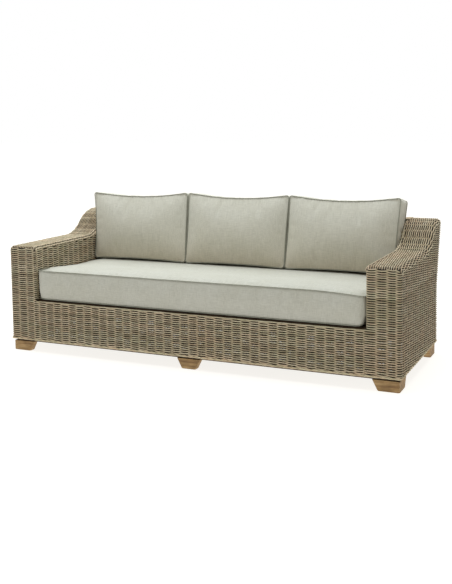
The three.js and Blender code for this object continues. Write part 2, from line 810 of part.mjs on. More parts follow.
function cushionGeometry(cushion, place) {
  const { columns, rows, thickness } = cushion;
  const positions = [];
  const index = [];
  const addPoint = (x, y, z) => {
    positions.push(...place(x, y, z));
    return positions.length / 3 - 1;
  };
  const across = gridStops(cushion.width, columns);
  const along = gridStops(cushion.height, rows);
  const edge = edgePlaces(columns, rows).map(([column, row]) => {
    return cushionPlan(cushion, across[column], along[row]);
  });
  const outwards = edge.map((spot, step) => {
    const before = edge[(step + edge.length - 1) % edge.length];
    const after = edge[(step + 1) % edge.length];
    return new THREE.Vector2(after[1] - before[1], before[0] - after[0]).normalize();
  });
  const addRing = (out, z) => edge.map(([x, y], step) => {
    return addPoint(x + out * outwards[step].x, y + out * outwards[step].y, z);
  });
  const joinRings = (lower, upper) => {
    for (let step = 0; step < lower.length; step += 1) {
      const next = (step + 1) % lower.length;
      index.push(lower[step], lower[next], upper[next], lower[step], upper[next], upper[step]);
    }
  };
  const addFace = (ring, z, crown, up) => {
    const grid = new Map(edgePlaces(columns, rows).map((spot, step) => [spot.join(), ring[step]]));
    const shrinkX = 1 - (2 * pipingSize) / cushion.width;
    const shrinkY = 1 - (2 * pipingSize) / cushion.height;
    for (let row = 1; row < rows; row += 1) {
      for (let column = 1; column < columns; column += 1) {
        const [x, y] = cushionPlan(cushion, across[column], along[row]);
        const rise = crown * crownShare(across[column], along[row]);
        grid.set(`${column},${row}`, addPoint(x * shrinkX, y * shrinkY, z + rise));
      }
    }
    for (let row = 0; row < rows; row += 1) {
      for (let column = 0; column < columns; column += 1) {
        const a = grid.get(`${column},${row}`);
        const b = grid.get(`${column + 1},${row}`);
        const c = grid.get(`${column + 1},${row + 1}`);
        const d = grid.get(`${column},${row + 1}`);
        index.push(...(up ? [a, b, c, a, c, d] : [a, c, b, a, d, c]));
      }
    }
  };
  const bottomRings = pipingShares.map(([out, past]) => addRing(out * pipingSize, -past * pipingSize));
  const middleRing = addRing(bandBulge, thickness / 2);
  const topRings = pipingShares.map(([out, past]) => {
    return addRing(out * pipingSize, thickness + past * pipingSize);
  });
  const rings = [...bottomRings, middleRing, ...topRings.toReversed()];
  for (let ring = 0; ring + 1 < rings.length; ring += 1) joinRings(rings[ring], rings[ring + 1]);
  addFace(bottomRings[0], 0, -cushion.underCrown, false);
  addFace(topRings[0], thickness, cushion.crown, true);
  const geometry = new THREE.BufferGeometry();
  geometry.setAttribute('position', new THREE.Float32BufferAttribute(positions, 3));
  geometry.setIndex(index);
  geometry.computeVertexNormals();
  return geometry;
}

const seatCushionRear = backFace(0, apronHeight) - seatCushionRearGap;
const seatCushion = {
  width: 2 * (seatHalfWidth - seatCushionEndGap),
  height: seatCushionRear - seatCushionInset,
  thickness: seatCushionThickness,
  crown: seatCrown,
  underCrown: seatUnderCrown,
  drawIn: seatSideDrawIn,
  topDip: 0,
  columns: seatColumns,
  rows: seatRows,
};
const seatUnderside = apronHeight + cushionRest + Math.max(seatUnderCrown, pipingSize);

function addSeatCushion() {
  const middle = (seatCushionRear + seatCushionInset) / 2;
  const place = (x, y, z) => [x, middle + y, seatUnderside + z];
  addPiece('seat_cushion', cushionGeometry(seatCushion, place), fabricMaterial());
}

// Rise of the crown along the middle of a cushion, as its facets have it
function crownRise(cushion, v) {
  const stops = gridStops(cushion.height, cushion.rows);
  const after = stops.findIndex((stop) => stop > v);
  const [low, high] = [stops[after - 1], stops[after]];
  const share = (v - low) / (high - low);
  return cushion.crown * ((1 - share) * crownShare(0, low) + share * crownShare(0, high));
}

// The back cushions stand on the seat cushion and lean on the back. Their underside is bedded
// flat on the seat, and their upper edge keeps the tilt.
function addBackCushions() {
  const pitch = (2 * seatHalfWidth) / backCushionNames.length;
  const backCushion = {
    width: pitch - backCushionGap,
    height: backCushionHeight,
    thickness: backCushionThickness,
    crown: backCrown,
    underCrown: backRearCrown,
    drawIn: backSideDrawIn,
    topDip: backTopDip,
    columns: backColumns,
    rows: backRows,
  };
  const seatTop = seatUnderside + seatCushionThickness;
  const rearClearance = Math.max(backRearCrown, pipingSize) + cushionRest;
  const rearDepth = backFace(0, seatTop) - rearClearance;
  const seatMiddle = (seatCushionRear + seatCushionInset) / 2;
  const frontDepth = rearDepth - backCushionThickness * Math.cos(leanAngle);
  const frontRise = crownRise(seatCushion, (frontDepth - seatMiddle) / (seatCushion.height / 2));
  const base = seatTop + Math.max(pipingSize, frontRise) + pipingSize + cushionRest;
  for (const [index, name] of backCushionNames.entries()) {
    const middleX = (index - (backCushionNames.length - 1) / 2) * pitch;
    const place = (x, y, z) => {
      const up = y + backCushionHeight / 2;
      const tilt = z * Math.sin(leanAngle) * (up / backCushionHeight);
      return [
        middleX + x,
        rearDepth + up * Math.sin(leanAngle) - z * Math.cos(leanAngle),
        base + up * Math.cos(leanAngle) + tilt,
      ];
    };
    addPiece(`back_cushion_${name}`, cushionGeometry(backCushion, place), fabricMaterial());
  }
}

addFeet();
addBaseRails();
addSeatFrame();
addArmFrames();
addBackFrame();
addFrontSkins();
addArmSideSkins();
addArmTops();
addBackSkins();
addWales();
addSeatCushion();
addBackCushions();

export default sofa;
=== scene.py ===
"""Rattan garden sofa: woven strands, feet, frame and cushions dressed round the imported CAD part.

Everything is in metres in the part's own frame: X across, -Y the front, Z up, origin on the floor.
"Depth" is measured back from the woven front face. Every weaver and stake is a real tube, so the
weave has true over and under crossings.
"""

import math
from dataclasses import dataclass

import bpy
import numpy as np
from mathutils import Matrix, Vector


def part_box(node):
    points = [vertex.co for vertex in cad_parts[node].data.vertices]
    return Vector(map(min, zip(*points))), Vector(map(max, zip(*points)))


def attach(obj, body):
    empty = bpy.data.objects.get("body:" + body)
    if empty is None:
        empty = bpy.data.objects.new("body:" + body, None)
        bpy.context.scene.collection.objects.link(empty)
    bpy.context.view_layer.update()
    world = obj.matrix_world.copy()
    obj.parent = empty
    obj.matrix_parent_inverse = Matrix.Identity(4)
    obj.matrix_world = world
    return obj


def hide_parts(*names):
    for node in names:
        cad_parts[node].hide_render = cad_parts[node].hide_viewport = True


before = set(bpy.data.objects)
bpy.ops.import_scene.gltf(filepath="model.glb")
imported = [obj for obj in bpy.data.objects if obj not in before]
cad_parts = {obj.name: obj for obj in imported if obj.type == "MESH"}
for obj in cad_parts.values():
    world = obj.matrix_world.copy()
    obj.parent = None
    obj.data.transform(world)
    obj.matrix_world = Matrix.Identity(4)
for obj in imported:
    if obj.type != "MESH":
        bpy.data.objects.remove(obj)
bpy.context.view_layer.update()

# Shape of the woven shell, as in the CAD part
front_low, front_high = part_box("arm_front_weave_right")
FRONT_Y = front_low.y
HALF_WIDTH = front_high.x
SEAT_HALF = front_low.x
BODY_DEPTH = 0.824
ARM_HEIGHT = front_high.z + 0.0163
BACK_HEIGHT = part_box("back_top_weave")[1].z
APRON_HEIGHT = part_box("apron_weave")[1].z
SKIN_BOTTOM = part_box("apron_weave")[0].z
SKIN_THICKNESS = 0.016
SWEEP_LENGTH = 0.330
SWEEP_REAR_FLAT = 0.058
RAKE_START = 0.330
RAKE_RADIUS = 0.400
RAKE_ANGLE = math.radians(16.5)
LEAN_ANGLE = math.radians(10)
BACK_TOP = 0.110
DECK_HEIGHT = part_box("seat_slat_1")[0].z

# Strands. MID is the middle of the CAD skin, and the weave's own middle lies PROUD outside of it.
# A weaver swings by WAVE to either side of the stakes, crosses over faster the higher CROSSING is,
# and is thinner by SQUEEZE where it stands out. Relief says how far a strand stands out, from -1
# to 1, and sets painted shade: what lies deep is painted dark, the stakes (STAKE_RELIEF), and on the
# sides, seen at a slant, the weavers too (SLANT_RELIEF); what stands out is painted lighter.
MID = SKIN_THICKNESS / 2
PROUD = 0.009
ROW_PITCH = 0.00585
WEAVER_RADIUS = 0.0040
SQUEEZE = 0.24
STAKE_RADIUS = 0.0030
STAKE_RELIEF = -0.5
SLANT_RELIEF = 0.36
WAVE = 0.0037
CROSSING = 1.6
STEPS_PER_CELL = 5
LEAST_STEP = 0.0009
TUBE_SIDES = 6

# Rounded corners of the shell. RIM is how far under an arm top the upright rows end, and the arm
# fronts' top rows sag between the stakes.
CORNER = 0.012
TOP_UNDER = -0.0005
EDGE_ROUND = 0.020
FOLD_ROUND = 0.009
FRONT_TOP = 0.003
RIM = TOP_UNDER + EDGE_ROUND - 0.004
SAG, SAG_DEPTH = 0.0028, 0.030


def ripple(phase):
    """Over and under: 1 at even phases and -1 at odd ones, with a quick crossing in between."""
    return np.tanh(CROSSING * np.cos(math.pi * phase)) / math.tanh(CROSSING)


def rear_depth(height, inset=0.0):
    """Depth of the rear face: straight, then bent, then raked."""
    height = np.asarray(height, float)
    radius = RAKE_RADIUS + inset
    bend_top = RAKE_START + radius * math.sin(RAKE_ANGLE)
    bent = np.clip(height - RAKE_START, 0, radius * math.sin(RAKE_ANGLE))
    bend = BODY_DEPTH + RAKE_RADIUS - np.sqrt(radius**2 - bent**2)
    return bend + np.clip(height - bend_top, 0, None) * math.tan(RAKE_ANGLE)


REAR_TOP = float(rear_depth(BACK_HEIGHT))
SWEEP_START = REAR_TOP - SWEEP_REAR_FLAT - SWEEP_LENGTH


def back_depth(height, behind=0.0):
    """Depth of the leaning inner face of the back."""
    rise = BACK_HEIGHT - np.asarray(height, float)
    return REAR_TOP - BACK_TOP - rise * math.tan(LEAN_ANGLE) + behind / math.cos(LEAN_ANGLE)


def rounded(points, radius, steps=4):
    """A polyline of 2D points with its inner corners rounded off."""
    points = [np.asarray(p, float) for p in points]
    out = [points[0]]
    for before, corner, after in zip(points, points[1:], points[2:]):
        a = (before - corner) / np.linalg.norm(before - corner)
        b = (after - corner) / np.linalg.norm(after - corner)
        half = math.acos(float(np.clip(a @ b, -1, 1))) / 2
        if half > math.radians(89.5):
            out.append(corner)
            continue
        reach = radius / math.tan(half)
        centre = corner + (a + b) / np.linalg.norm(a + b) * (radius / math.sin(half))
        start, end = corner + a * reach, corner + b * reach
        from_angle = math.atan2(*(start - centre)[::-1])
        turn = math.atan2(*(end - centre)[::-1]) - from_angle
        turn = (turn + math.pi) % (2 * math.pi) - math.pi
        for step in range(steps + 1):
            angle = from_angle + turn * step / steps
            out.append(centre + radius * np.array([math.cos(angle), math.sin(angle)]))
    out.append(points[-1])
    return np.array(out)


def vectors(x, y, z):
    """Points or directions from their three parts, any of which may be one number for them all."""
    return np.stack(np.broadcast_arrays(x, y, z), -1).astype(float)


def side_directions(along, outward):
    """Two unit directions across a line: outward squared to it, and the one beside that."""
    along = along / np.linalg.norm(along, axis=1)[:, None]
    across = outward - (outward * along).sum(1)[:, None] * along
    across /= np.linalg.norm(across, axis=1)[:, None]
    return across, np.cross(along, across)


def distances(points):
    """Distance along a polyline at each of its points."""
    return np.concatenate([[0], np.cumsum(np.linalg.norm(np.diff(points, axis=0), axis=1))])


def rings(turn, across, beside):
    """Directions round a line at each of its points, one for each turn."""
    return np.cos(turn)[None, :, None] * across[:, None] + np.sin(turn)[None, :, None] * beside[:, None]


def spaced(stops):
    """Stops without the ones that follow too closely."""
    return stops[np.diff(stops, prepend=-1) > 0.0012]


def read_along(distance, reach, table):
    """The rows of a table read at distances, where reach is the distance of each row."""
    return np.stack([np.interp(distance, reach, column) for column in table.T], -1)


class Line:
    """A 2D polyline read by distance along it, with its left-hand normal."""

    def __init__(self, points):
        self.points = np.asarray(points, float)
        steps = np.diff(self.points, axis=0)
        self.reach = np.concatenate([[0], np.cumsum(np.hypot(*steps.T))])
        self.length = float(self.reach[-1])
        slope = np.gradient(self.points, self.reach, axis=0)
        slope /= np.linalg.norm(slope, axis=1)[:, None]
        self.normals = np.stack([-slope[:, 1], slope[:, 0]], 1)

    def at(self, distance):
        """Place and left-hand normal at a distance, or at many."""
        normal = read_along(distance, self.reach, self.normals)
        normal /= np.linalg.norm(normal, axis=-1, keepdims=True)
        return read_along(distance, self.reach, self.points), normal


def sweep_points(under, steps=14):
    """The S of an arm top at a distance under its surface, as depth and height."""
    rise = BACK_HEIGHT - ARM_HEIGHT
    radius = (SWEEP_LENGTH**2 + rise**2) / (4 * rise)
    angle = 2 * math.atan2(rise, SWEEP_LENGTH)
    turn = np.linspace(0, angle, steps + 1)
    near, far = radius + under, radius - under
    lower = [SWEEP_START + near * np.sin(turn), ARM_HEIGHT + radius - near * np.cos(turn)]
    turn = turn[::-1][1:]
    upper = [SWEEP_START + SWEEP_LENGTH - far * np.sin(turn), BACK_HEIGHT - radius + far * np.cos(turn)]
    return np.concatenate([np.stack(lower, 1), np.stack(upper, 1)])


def weaver_girth(rng, wave):
    """Radius along a weaver, fuller where it lies behind a stake."""
    return WEAVER_RADIUS * rng.normal(1, 0.03) * (1 - SQUEEZE * wave / WAVE)


class Strands:
    """Collects tubes and makes them into one mesh."""

    def __init__(self):
        self.tubes = []

    def add(self, points, outward, radius, tone, relief):
        """A tube along points. outward is a direction across it at each point, and relief says how
        far it stands out of the weave there, from -1 to 1. Relief and the side of the tube that faces
        outward set its painted shade: dark deep in the weave and on flanks and underside, lighter
        outward."""
        points = np.asarray(points, float)
        across, beside = side_directions(np.gradient(points, axis=0), outward)
        turn = (np.arange(TUBE_SIDES) + 0.5) * 2 * math.pi / TUBE_SIDES
        radius = np.broadcast_to(radius, len(points))
        corners = points[:, None] + radius[:, None, None] * rings(turn, across, beside)
        relief = np.broadcast_to(relief, len(points))
        # Painted shade and light: dark deep in the weave and on a strand's flanks and underside, lighter
        # on the outward face of what stands out.
        front = np.clip(relief, 0, 1)[:, None]
        facing = (0.10 + 0.60 * front) * (np.cos(turn)[None] - 0.75 * front)
        painted_shading = np.clip(0.5 + 0.42 * relief[:, None] + facing, 0, 1)
        tones = np.repeat(tone[:, None], TUBE_SIDES, 1)
        self.tubes.append((corners, np.concatenate([tones, painted_shading[..., None]], 2), distances(points)))

    def build(self, name, material):
        """The mesh object, with each strand's own tone and painted shade, and a map that gives each
        strand a strip.
        """
        longest = max(reach[-1] for _, _, reach in self.tubes)
        corners, tones, loops, counts, maps = [], [], [], [], []
        first = 0
        for strip, (ring, tone, reach) in enumerate(self.tubes):
            count, sides = ring.shape[:2]
            index = first + np.arange(count * sides).reshape(count, sides)
            after = np.roll(index, -1, 1)
            quads = np.stack([index[:-1], after[:-1], after[1:], index[1:]], -1).reshape(-1, 4)
            caps = np.stack([index[0][::-1], index[-1]])
            loops += [quads.ravel(), caps.ravel()]
            counts += [np.full(len(quads), 4), np.full(2, sides)]
            u = reach / longest * 0.98 + 0.01
            v = (strip + 0.1 + 0.8 * np.arange(sides + 1) / sides) / len(self.tubes)
            grid = np.stack(np.meshgrid(u, v, indexing="ij"), -1)
            strip_map = np.stack([grid[:-1, :-1], grid[:-1, 1:], grid[1:, 1:], grid[1:, :-1]], 2)
            maps += [strip_map.reshape(-1, 2), np.repeat(grid[[0, -1], 0], sides, 0)]
            corners.append(ring.reshape(-1, 3))
            tones.append(tone.reshape(-1, 3))
            first += count * sides
        corners, tones = np.concatenate(corners), np.concatenate(tones)
        loops, counts, maps = map(np.concatenate, (loops, counts, maps))
        mesh = bpy.data.meshes.new(name)
        mesh.vertices.add(len(corners))
        mesh.vertices.foreach_set("co", corners.astype(np.float32).ravel())
        mesh.loops.add(len(loops))
        mesh.loops.foreach_set("vertex_index", loops.astype(np.int32))
        mesh.polygons.add(len(counts))
        mesh.polygons.foreach_set("loop_start", (np.cumsum(counts) - counts).astype(np.int32))
        mesh.polygons.foreach_set("use_smooth", counts == 4)
        mesh.update(calc_edges=True)
        layer = mesh.uv_layers.new(name="OFBake")
        layer.data.foreach_set("uv", maps.astype(np.float32).ravel())
        colour = mesh.attributes.new("strand", "FLOAT_COLOR", "POINT")
        filled = np.concatenate([tones, np.ones((len(tones), 1))], 1)
        colour.data.foreach_set("color", filled.astype(np.float32).ravel())
        mesh.validate()
        mesh.materials.append(material)
        return add_object(name, mesh)


def add_object(name, data):
    """A new object in the scene."""
    thing = bpy.data.objects.new(name, data)
    bpy.context.scene.collection.objects.link(thing)
    return thing


def drift(rng, distance, wavelengths, size):
    """A slow wander along a strand."""
    total = np.zeros_like(distance)
    for wavelength in wavelengths:
        total += np.sin(2 * math.pi * (distance / wavelength + rng.random()))
    return size * total / len(wavelengths)


def strand_tone(rng, distance):
    """Tone and warmth of a strand, which wander along it."""
    tone = rng.normal(0.5, 0.09) + drift(rng, distance, (0.31, 0.83, 0.12), 0.20)
    warmth = rng.random() + drift(rng, distance, (0.9, 0.37), 0.2)
    return np.clip(np.stack([tone, warmth], 1), 0, 1)


# Cells round the woven shell. A cell is the space from one stake to the next, and cells count on
# from the front right corner past the rear to the front left corner. The stakes of the two arm
# fronts are set by their distance from the outer face, as the photograph shows them.
REAR_RIGHT, REAR_LEFT, FRONT_LEFT, FRONT_END = 16.0, 59.0, 74.5, 120.0
RIGHT_ARM_STAKES = ((-1, 0.0385), (-2, 0.0925), (-3, 0.146), (-4, 0.200))
LEFT_ARM_STAKES = ((75, 0.026), (76, 0.083), (77, 0.136), (78, 0.178), (79, 0.218))
INNER_CELL = 0.0525
INNER_RIGHT, INNER_LEFT = -3.400, 78.143
TOP_CELLS = 22
SIDES = {1: "right", -1: "left"}
CORNER_CELLS = {1: INNER_RIGHT, -1: INNER_LEFT}
ROWS = int((BACK_HEIGHT - RIM - SKIN_BOTTOM) / ROW_PITCH)
FRONT = MID - PROUD
SIDE_TOP = ARM_HEIGHT - RIM
FRONT_ROWS_TOP = ARM_HEIGHT - FRONT_TOP
APRON_TOP = APRON_HEIGHT - 0.002
INNER_X = SEAT_HALF + MID
HALF_ARC = CORNER * math.pi / 4
EDGE = FRONT + CORNER - HALF_ARC
ARM_INNER = INNER_X + EDGE_ROUND
ARM_OUTER = HALF_WIDTH - MID + PROUD - EDGE_ROUND


class Plan:
    """One row seen from above: its line, cells marked along it and the pieces it runs through."""

    def __init__(self, line, marks, cuts):
        self.line, self.cuts = line, cuts
        self.places, self.cells = np.array(marks, float).T

    def place_of(self, cell):
        """Distance along the line at a cell number."""
        order = np.argsort(self.cells)
        return np.interp(cell, self.cells[order], self.places[order])

    def stops(self, start, end):
        """Distances along the line at even shares of each cell, with the corners' own points."""
        first, last = np.interp([start, end], self.places, self.cells)
        low, high = sorted((first * STEPS_PER_CELL, last * STEPS_PER_CELL))
        inside = np.arange(math.ceil(low), math.floor(high) + 1) / STEPS_PER_CELL
        stops = np.sort(np.concatenate([self.place_of(inside), self.line.reach]))
        stops = stops[(stops > start + LEAST_STEP) & (stops < end - LEAST_STEP)]
        stops = stops[np.diff(stops, prepend=start) > LEAST_STEP]
        return np.concatenate([[start], stops, [end]])


def straight(first, last):
    """A line between two places, with its middle."""
    return Line([first, np.add(first, last) / 2, last])


def sweep_depth(height, under):
    """Depth at which an arm top reaches a height, at a distance under its surface."""
    line = sweep_points(under)
    return float(np.interp(height, line[:, 1], line[:, 0]))


def shell_line(height):
    """Plan of the outer shell at a height, as a line with cells marked along it."""
    rear = float(rear_depth(height, FRONT))
    side = HALF_WIDTH - MID + PROUD
    if height > SIDE_TOP:
        start = sweep_depth(height, RIM)
        line = Line(rounded([(side, start), (side, rear), (-side, rear), (-side, start)], CORNER))
        ahead = rear - CORNER - start + CORNER * math.pi / 4
        behind = line.length - ahead
        marks = [(0, REAR_RIGHT * start / rear), (ahead, REAR_RIGHT), (behind, REAR_LEFT)]
        marks.append((line.length, FRONT_LEFT - (FRONT_LEFT - REAR_LEFT) * start / rear))
        cuts = [("arm_outer_weave_right", 0, ahead), ("back_outer_weave", ahead, behind)]
        return Plan(line, marks, [*cuts, ("arm_outer_weave_left", behind, line.length)])
    low = height < APRON_HEIGHT
    back = float(back_depth(height)) - 0.002
    begin = [(SEAT_HALF, FRONT)] if low else [(INNER_X, back), (INNER_X, FRONT)]
    end = [(-SEAT_HALF, FRONT)] if low else [(-INNER_X, FRONT), (-INNER_X, back)]
    corners = [*begin, (side, FRONT), (side, rear), (-side, rear), (-side, FRONT), *end]
    inside = 0.0 if low else back - FRONT - CORNER + HALF_ARC
    across = side - (SEAT_HALF if low else INNER_X) - (1 if low else 2) * (CORNER - HALF_ARC)
    along = rear - FRONT - 2 * (CORNER - HALF_ARC)
    behind = 2 * (side - CORNER + HALF_ARC)
    stops = np.cumsum([inside, across, along, behind, along, across, inside])
    marks = [] if low else [(0, INNER_RIGHT - inside / INNER_CELL)]
    marks.append((stops[0], INNER_RIGHT))
    marks += [(stops[1] - offset + EDGE, cell) for cell, offset in RIGHT_ARM_STAKES[::-1][1:]]
    marks += [(stops[1], 0), (stops[2], REAR_RIGHT), (stops[3], REAR_LEFT), (stops[4], FRONT_LEFT)]
    marks += [(stops[4] + offset - EDGE, cell) for cell, offset in LEFT_ARM_STAKES[:-1]]
    marks.append((stops[5], INNER_LEFT))
    if not low:
        marks.append((stops[6], INNER_LEFT + inside / INNER_CELL))
    names = [f"arm_{face}_weave_right" for face in ("inner", "front", "outer")]
    names += ["back_outer_weave", *(f"arm_{face}_weave_left" for face in ("outer", "front", "inner"))]
    cuts = [(name, a, b) for name, a, b in zip(names, [0, *stops[:-1]], stops) if b > a]
    return Plan(Line(rounded(corners, CORNER)), marks, cuts)


def front_cap_line(height, sign):
    """Plan of an arm front's row between the rounded upper corners of the arm."""
    rise = max(0.0, height - ARM_HEIGHT + EDGE_ROUND)
    reach = math.sqrt(EDGE_ROUND**2 - rise**2) - 0.003
    first, last = sorted((sign * (ARM_INNER - reach), sign * (ARM_OUTER + reach)))
    stakes, corner = (RIGHT_ARM_STAKES, 0) if sign > 0 else (LEFT_ARM_STAKES, FRONT_LEFT)
    marks = [(sign * (HALF_WIDTH - offset) - first, cell) for cell, offset in [*stakes, (corner, 0)]]
    line = straight((first, FRONT), (last, FRONT))
    return Plan(line, sorted(marks), [(f"arm_front_weave_{SIDES[sign]}", 0, line.length)])


def apron_line(_height):
    """Plan of the apron, from the left arm to the right one, the same at every height."""
    line = straight((-SEAT_HALF, FRONT), (SEAT_HALF, FRONT))
    last_left, last_right = LEFT_ARM_STAKES[-1], RIGHT_ARM_STAKES[-1]
    marks = [(0, INNER_LEFT)]
    marks.append((last_left[1] - (HALF_WIDTH - SEAT_HALF), last_left[0]))
    marks.append((line.length - last_right[1] + HALF_WIDTH - SEAT_HALF, FRONT_END + last_right[0]))
    marks.append((line.length, FRONT_END + INNER_RIGHT))
    return Plan(line, marks, [("apron_weave", 0, line.length)])


def back_line(height):
    """Plan of the back's inner face at a height, from the left arm to the right one."""
    depth = float(back_depth(height, MID))
    line = straight((-SEAT_HALF, depth), (SEAT_HALF, depth))
    marks = [(0, rear_cell(-SEAT_HALF)), (line.length, rear_cell(SEAT_HALF))]
    return Plan(line, marks, [("back_inner_weave", 0, line.length)])


def rear_cell(x):
    """Cell number across the rear face."""
    return REAR_LEFT + (REAR_RIGHT - REAR_LEFT) * (x + HALF_WIDTH - MID) / (2 * (HALF_WIDTH - MID))


def rear_x(cell):
    """The reverse: x of a cell number across the rear face."""
    return (cell - REAR_LEFT) / (REAR_RIGHT - REAR_LEFT) * 2 * (HALF_WIDTH - MID) - (HALF_WIDTH - MID)


def weave_row(pieces, row, plan, height, seed):
    """One horizontal weaver, cut into the pieces that it runs through."""
    rng = np.random.default_rng([seed, row])
    shift = [rng.random() for _ in range(3)]
    girth = WEAVER_RADIUS * rng.normal(1, 0.03)
    whole = np.linspace(0, plan.line.length, 160)
    whole_tone = strand_tone(rng, whole)
    lift = rng.normal(0, 0.00025)
    for name, start, end in plan.cuts:
        stops = plan.stops(start, end)
        place, left = plan.line.at(stops)
        cell = np.interp(stops, plan.places, plan.cells)
        rim = name == "apron_weave" and height + ROW_PITCH >= APRON_TOP
        wave = WAVE * (np.full(len(cell), 0.4) if rim else ripple(cell + row))
        wander = lift + 0.0004 * np.sin(2 * math.pi * (stops / 0.23 + shift[0]))
        wander += 0.0003 * np.sin(2 * math.pi * (stops / 0.071 + shift[1]))
        if name.startswith("arm_front"):
            near = math.exp(-(FRONT_ROWS_TOP - height) / SAG_DEPTH)
            wander = wander - SAG * near * (0.5 + 0.5 * np.cos(2 * math.pi * cell))
        tone = read_along(stops, whole, whole_tone)
        thickness = girth * (1 + 0.03 * np.sin(40 * stops + shift[2]) - SQUEEZE * wave / WAVE)
        # The arm's outer sides get deeper painted shade, since they are seen at a slant.
        relief = wave / WAVE - (SLANT_RELIEF if name.startswith("arm_outer") else 0)
        x, y = place[:, 0] - left[:, 0] * wave, FRONT_Y + place[:, 1] - left[:, 1] * wave
        pieces[name].add(vectors(x, y, height + wander), vectors(*-left.T, 0), thickness, tone, relief)


def add_stake(strands, rng, points, outward, reach):
    """A stake through the middle of the weave."""
    girth = STAKE_RADIUS * rng.normal(1, 0.04)
    strands.add(points, outward, girth, strand_tone(rng, reach), STAKE_RELIEF)


def weave_stake(strands, plan_at, cell, heights, seed):
    """An upright stake, at a cell's place on the plan line of each height."""
    rng = np.random.default_rng([seed, int(cell * 10) + 1000])
    plans = [plan_at(height) for height in heights]
    places, left = zip(*(plan.line.at(plan.place_of(cell)) for plan in plans))
    x, depth = np.transpose(places)
    points = vectors(x, FRONT_Y + depth, heights)
    outward = vectors(*-np.transpose(left), 0)
    tone = strand_tone(rng, np.array(heights))
    strands.add(points, outward, STAKE_RADIUS * rng.normal(1, 0.04), tone, STAKE_RELIEF)


def weave_shell():
    """Upright walls: every row of weavers and every stake, gathered by the CAD node they stand for."""
    names = ["apron_weave", "back_outer_weave", "back_inner_weave"]
    for side in ("left", "right"):
        names += [f"arm_front_weave_{side}", f"arm_outer_weave_{side}", f"arm_inner_weave_{side}"]
    pieces = {name: Strands() for name in names}
    for row in range(ROWS):
        height = SKIN_BOTTOM + ROW_PITCH * (row + 0.5)
        plans = [(shell_line(height), 11)]
        if SIDE_TOP < height < FRONT_ROWS_TOP:
            plans += [(front_cap_line(height, sign), 17 + sign) for sign in SIDES]
        if height < APRON_TOP:
            plans.append((apron_line(height), 12))
        if height > DECK_HEIGHT:
            plans.append((back_line(height), 13))
        if height > SIDE_TOP and float(back_depth(height)) - sweep_depth(height, RIM) > 0.02:
            plans += [(upper_inner_line(height, sign), 14 + sign) for sign in SIDES]
        for plan, seed in plans:
            weave_row(pieces, row, plan, height, seed)
    add_stakes(pieces)
    return pieces


def upper_inner_line(height, sign):
    """Plan of an arm's inner face above the arm's flat top, from the sweep to the back."""
    depths = [sweep_depth(height, RIM), float(back_depth(height)) - 0.002][::-sign]
    first, last = (CORNER_CELLS[sign] - sign * (depth - MID) / INNER_CELL for depth in depths)
    line = straight(*((sign * INNER_X, depth) for depth in depths))
    name = f"arm_inner_weave_{SIDES[sign]}"
    return Plan(line, [(0, first), (line.length, last)], [(name, 0, line.length)])


def add_stakes(pieces):
    """Stakes of every wall, each from the bottom rim up to the edge that it turns over."""
    foot = SKIN_BOTTOM - 0.010
    low = [foot, 0.19, APRON_TOP]
    tall = [foot, 0.2, 0.4, SIDE_TOP]
    rise = [foot, 0.2, 0.33, 0.36, 0.39, 0.42, 0.445, 0.52, 0.6, 0.68, BACK_HEIGHT - RIM]
    wall = [DECK_HEIGHT, 0.45, 0.6, BACK_HEIGHT - RIM]
    apron_cells = range(LEFT_ARM_STAKES[-1][0], int(FRONT_END) + RIGHT_ARM_STAKES[-1][0] + 1)
    rear_cells = range(int(REAR_RIGHT), int(REAR_LEFT) + 1)
    inner_cells = range(math.ceil(rear_cell(SEAT_HALF)), math.floor(rear_cell(-SEAT_HALF)) + 1)
    for name, plan_at, cells, heights, seed in (
        ("apron_weave", apron_line, apron_cells, low, 21),
        ("arm_front_weave_right", shell_line, range(0, -4, -1), tall, 22),
        ("arm_front_weave_left", shell_line, range(75, 79), tall, 22),
        ("back_outer_weave", shell_line, rear_cells, rise, 23),
        ("back_inner_weave", back_line, inner_cells, wall, 25),
    ):
        for cell in cells:
            weave_stake(pieces[name], plan_at, cell, heights, seed)
    left_cells = range(int(REAR_LEFT) + 1, int(FRONT_LEFT) + 1)
    for side, cells, front, rear in (
        ("right", range(1, int(REAR_RIGHT)), 0.0, REAR_RIGHT),
        ("left", left_cells, FRONT_LEFT, REAR_LEFT),
    ):
        for cell in cells:
            top = stake_top((cell - front) / (rear - front))
            heights = [z for z in rise if z < top - 0.01] + [top]
            weave_stake(pieces[f"arm_outer_weave_{side}"], shell_line, cell, heights, 24)
    for sign, side in SIDES.items():
        corner = CORNER_CELLS[sign]
        for step in range(1, 20):
            cell = math.floor(corner) - step + 1 if sign > 0 else math.ceil(corner) + step - 1
            depth = MID + abs(cell - corner) * INNER_CELL
            add_inner_stake(pieces[f"arm_inner_weave_{side}"], sign, depth, step)


def add_inner_stake(strands, sign, depth, step):
    """A stake of an arm's inner face, up to the arm's top and down to the seat or the back."""
    top = surface_height(depth) - RIM
    lean_foot = BACK_HEIGHT - (REAR_TOP - BACK_TOP - depth) / math.tan(LEAN_ANGLE)
    bottom = max(DECK_HEIGHT, lean_foot + 0.004)
    if top - bottom < 0.02:
        return
    rng = np.random.default_rng([31, step, sign + 1])
    heights = np.linspace(bottom, top, 4)
    points = vectors(sign * INNER_X, FRONT_Y + depth, heights)
    add_stake(strands, rng, points, vectors(-sign, 0, 0 * heights), heights)


def surface_height(depth):
    """Height of an arm's top surface at a depth."""
    line = sweep_points(0)
    return float(np.interp(depth, line[:, 0], line[:, 1], ARM_HEIGHT, BACK_HEIGHT))


def stake_top(share):
    """Height at which a side stake meets the arm's top, by its share of the side's depth."""
    height = ARM_HEIGHT
    for _ in range(12):
        height = surface_height(share * float(rear_depth(height, MID)))
    return min(height, BACK_HEIGHT) - RIM


# Arm tops

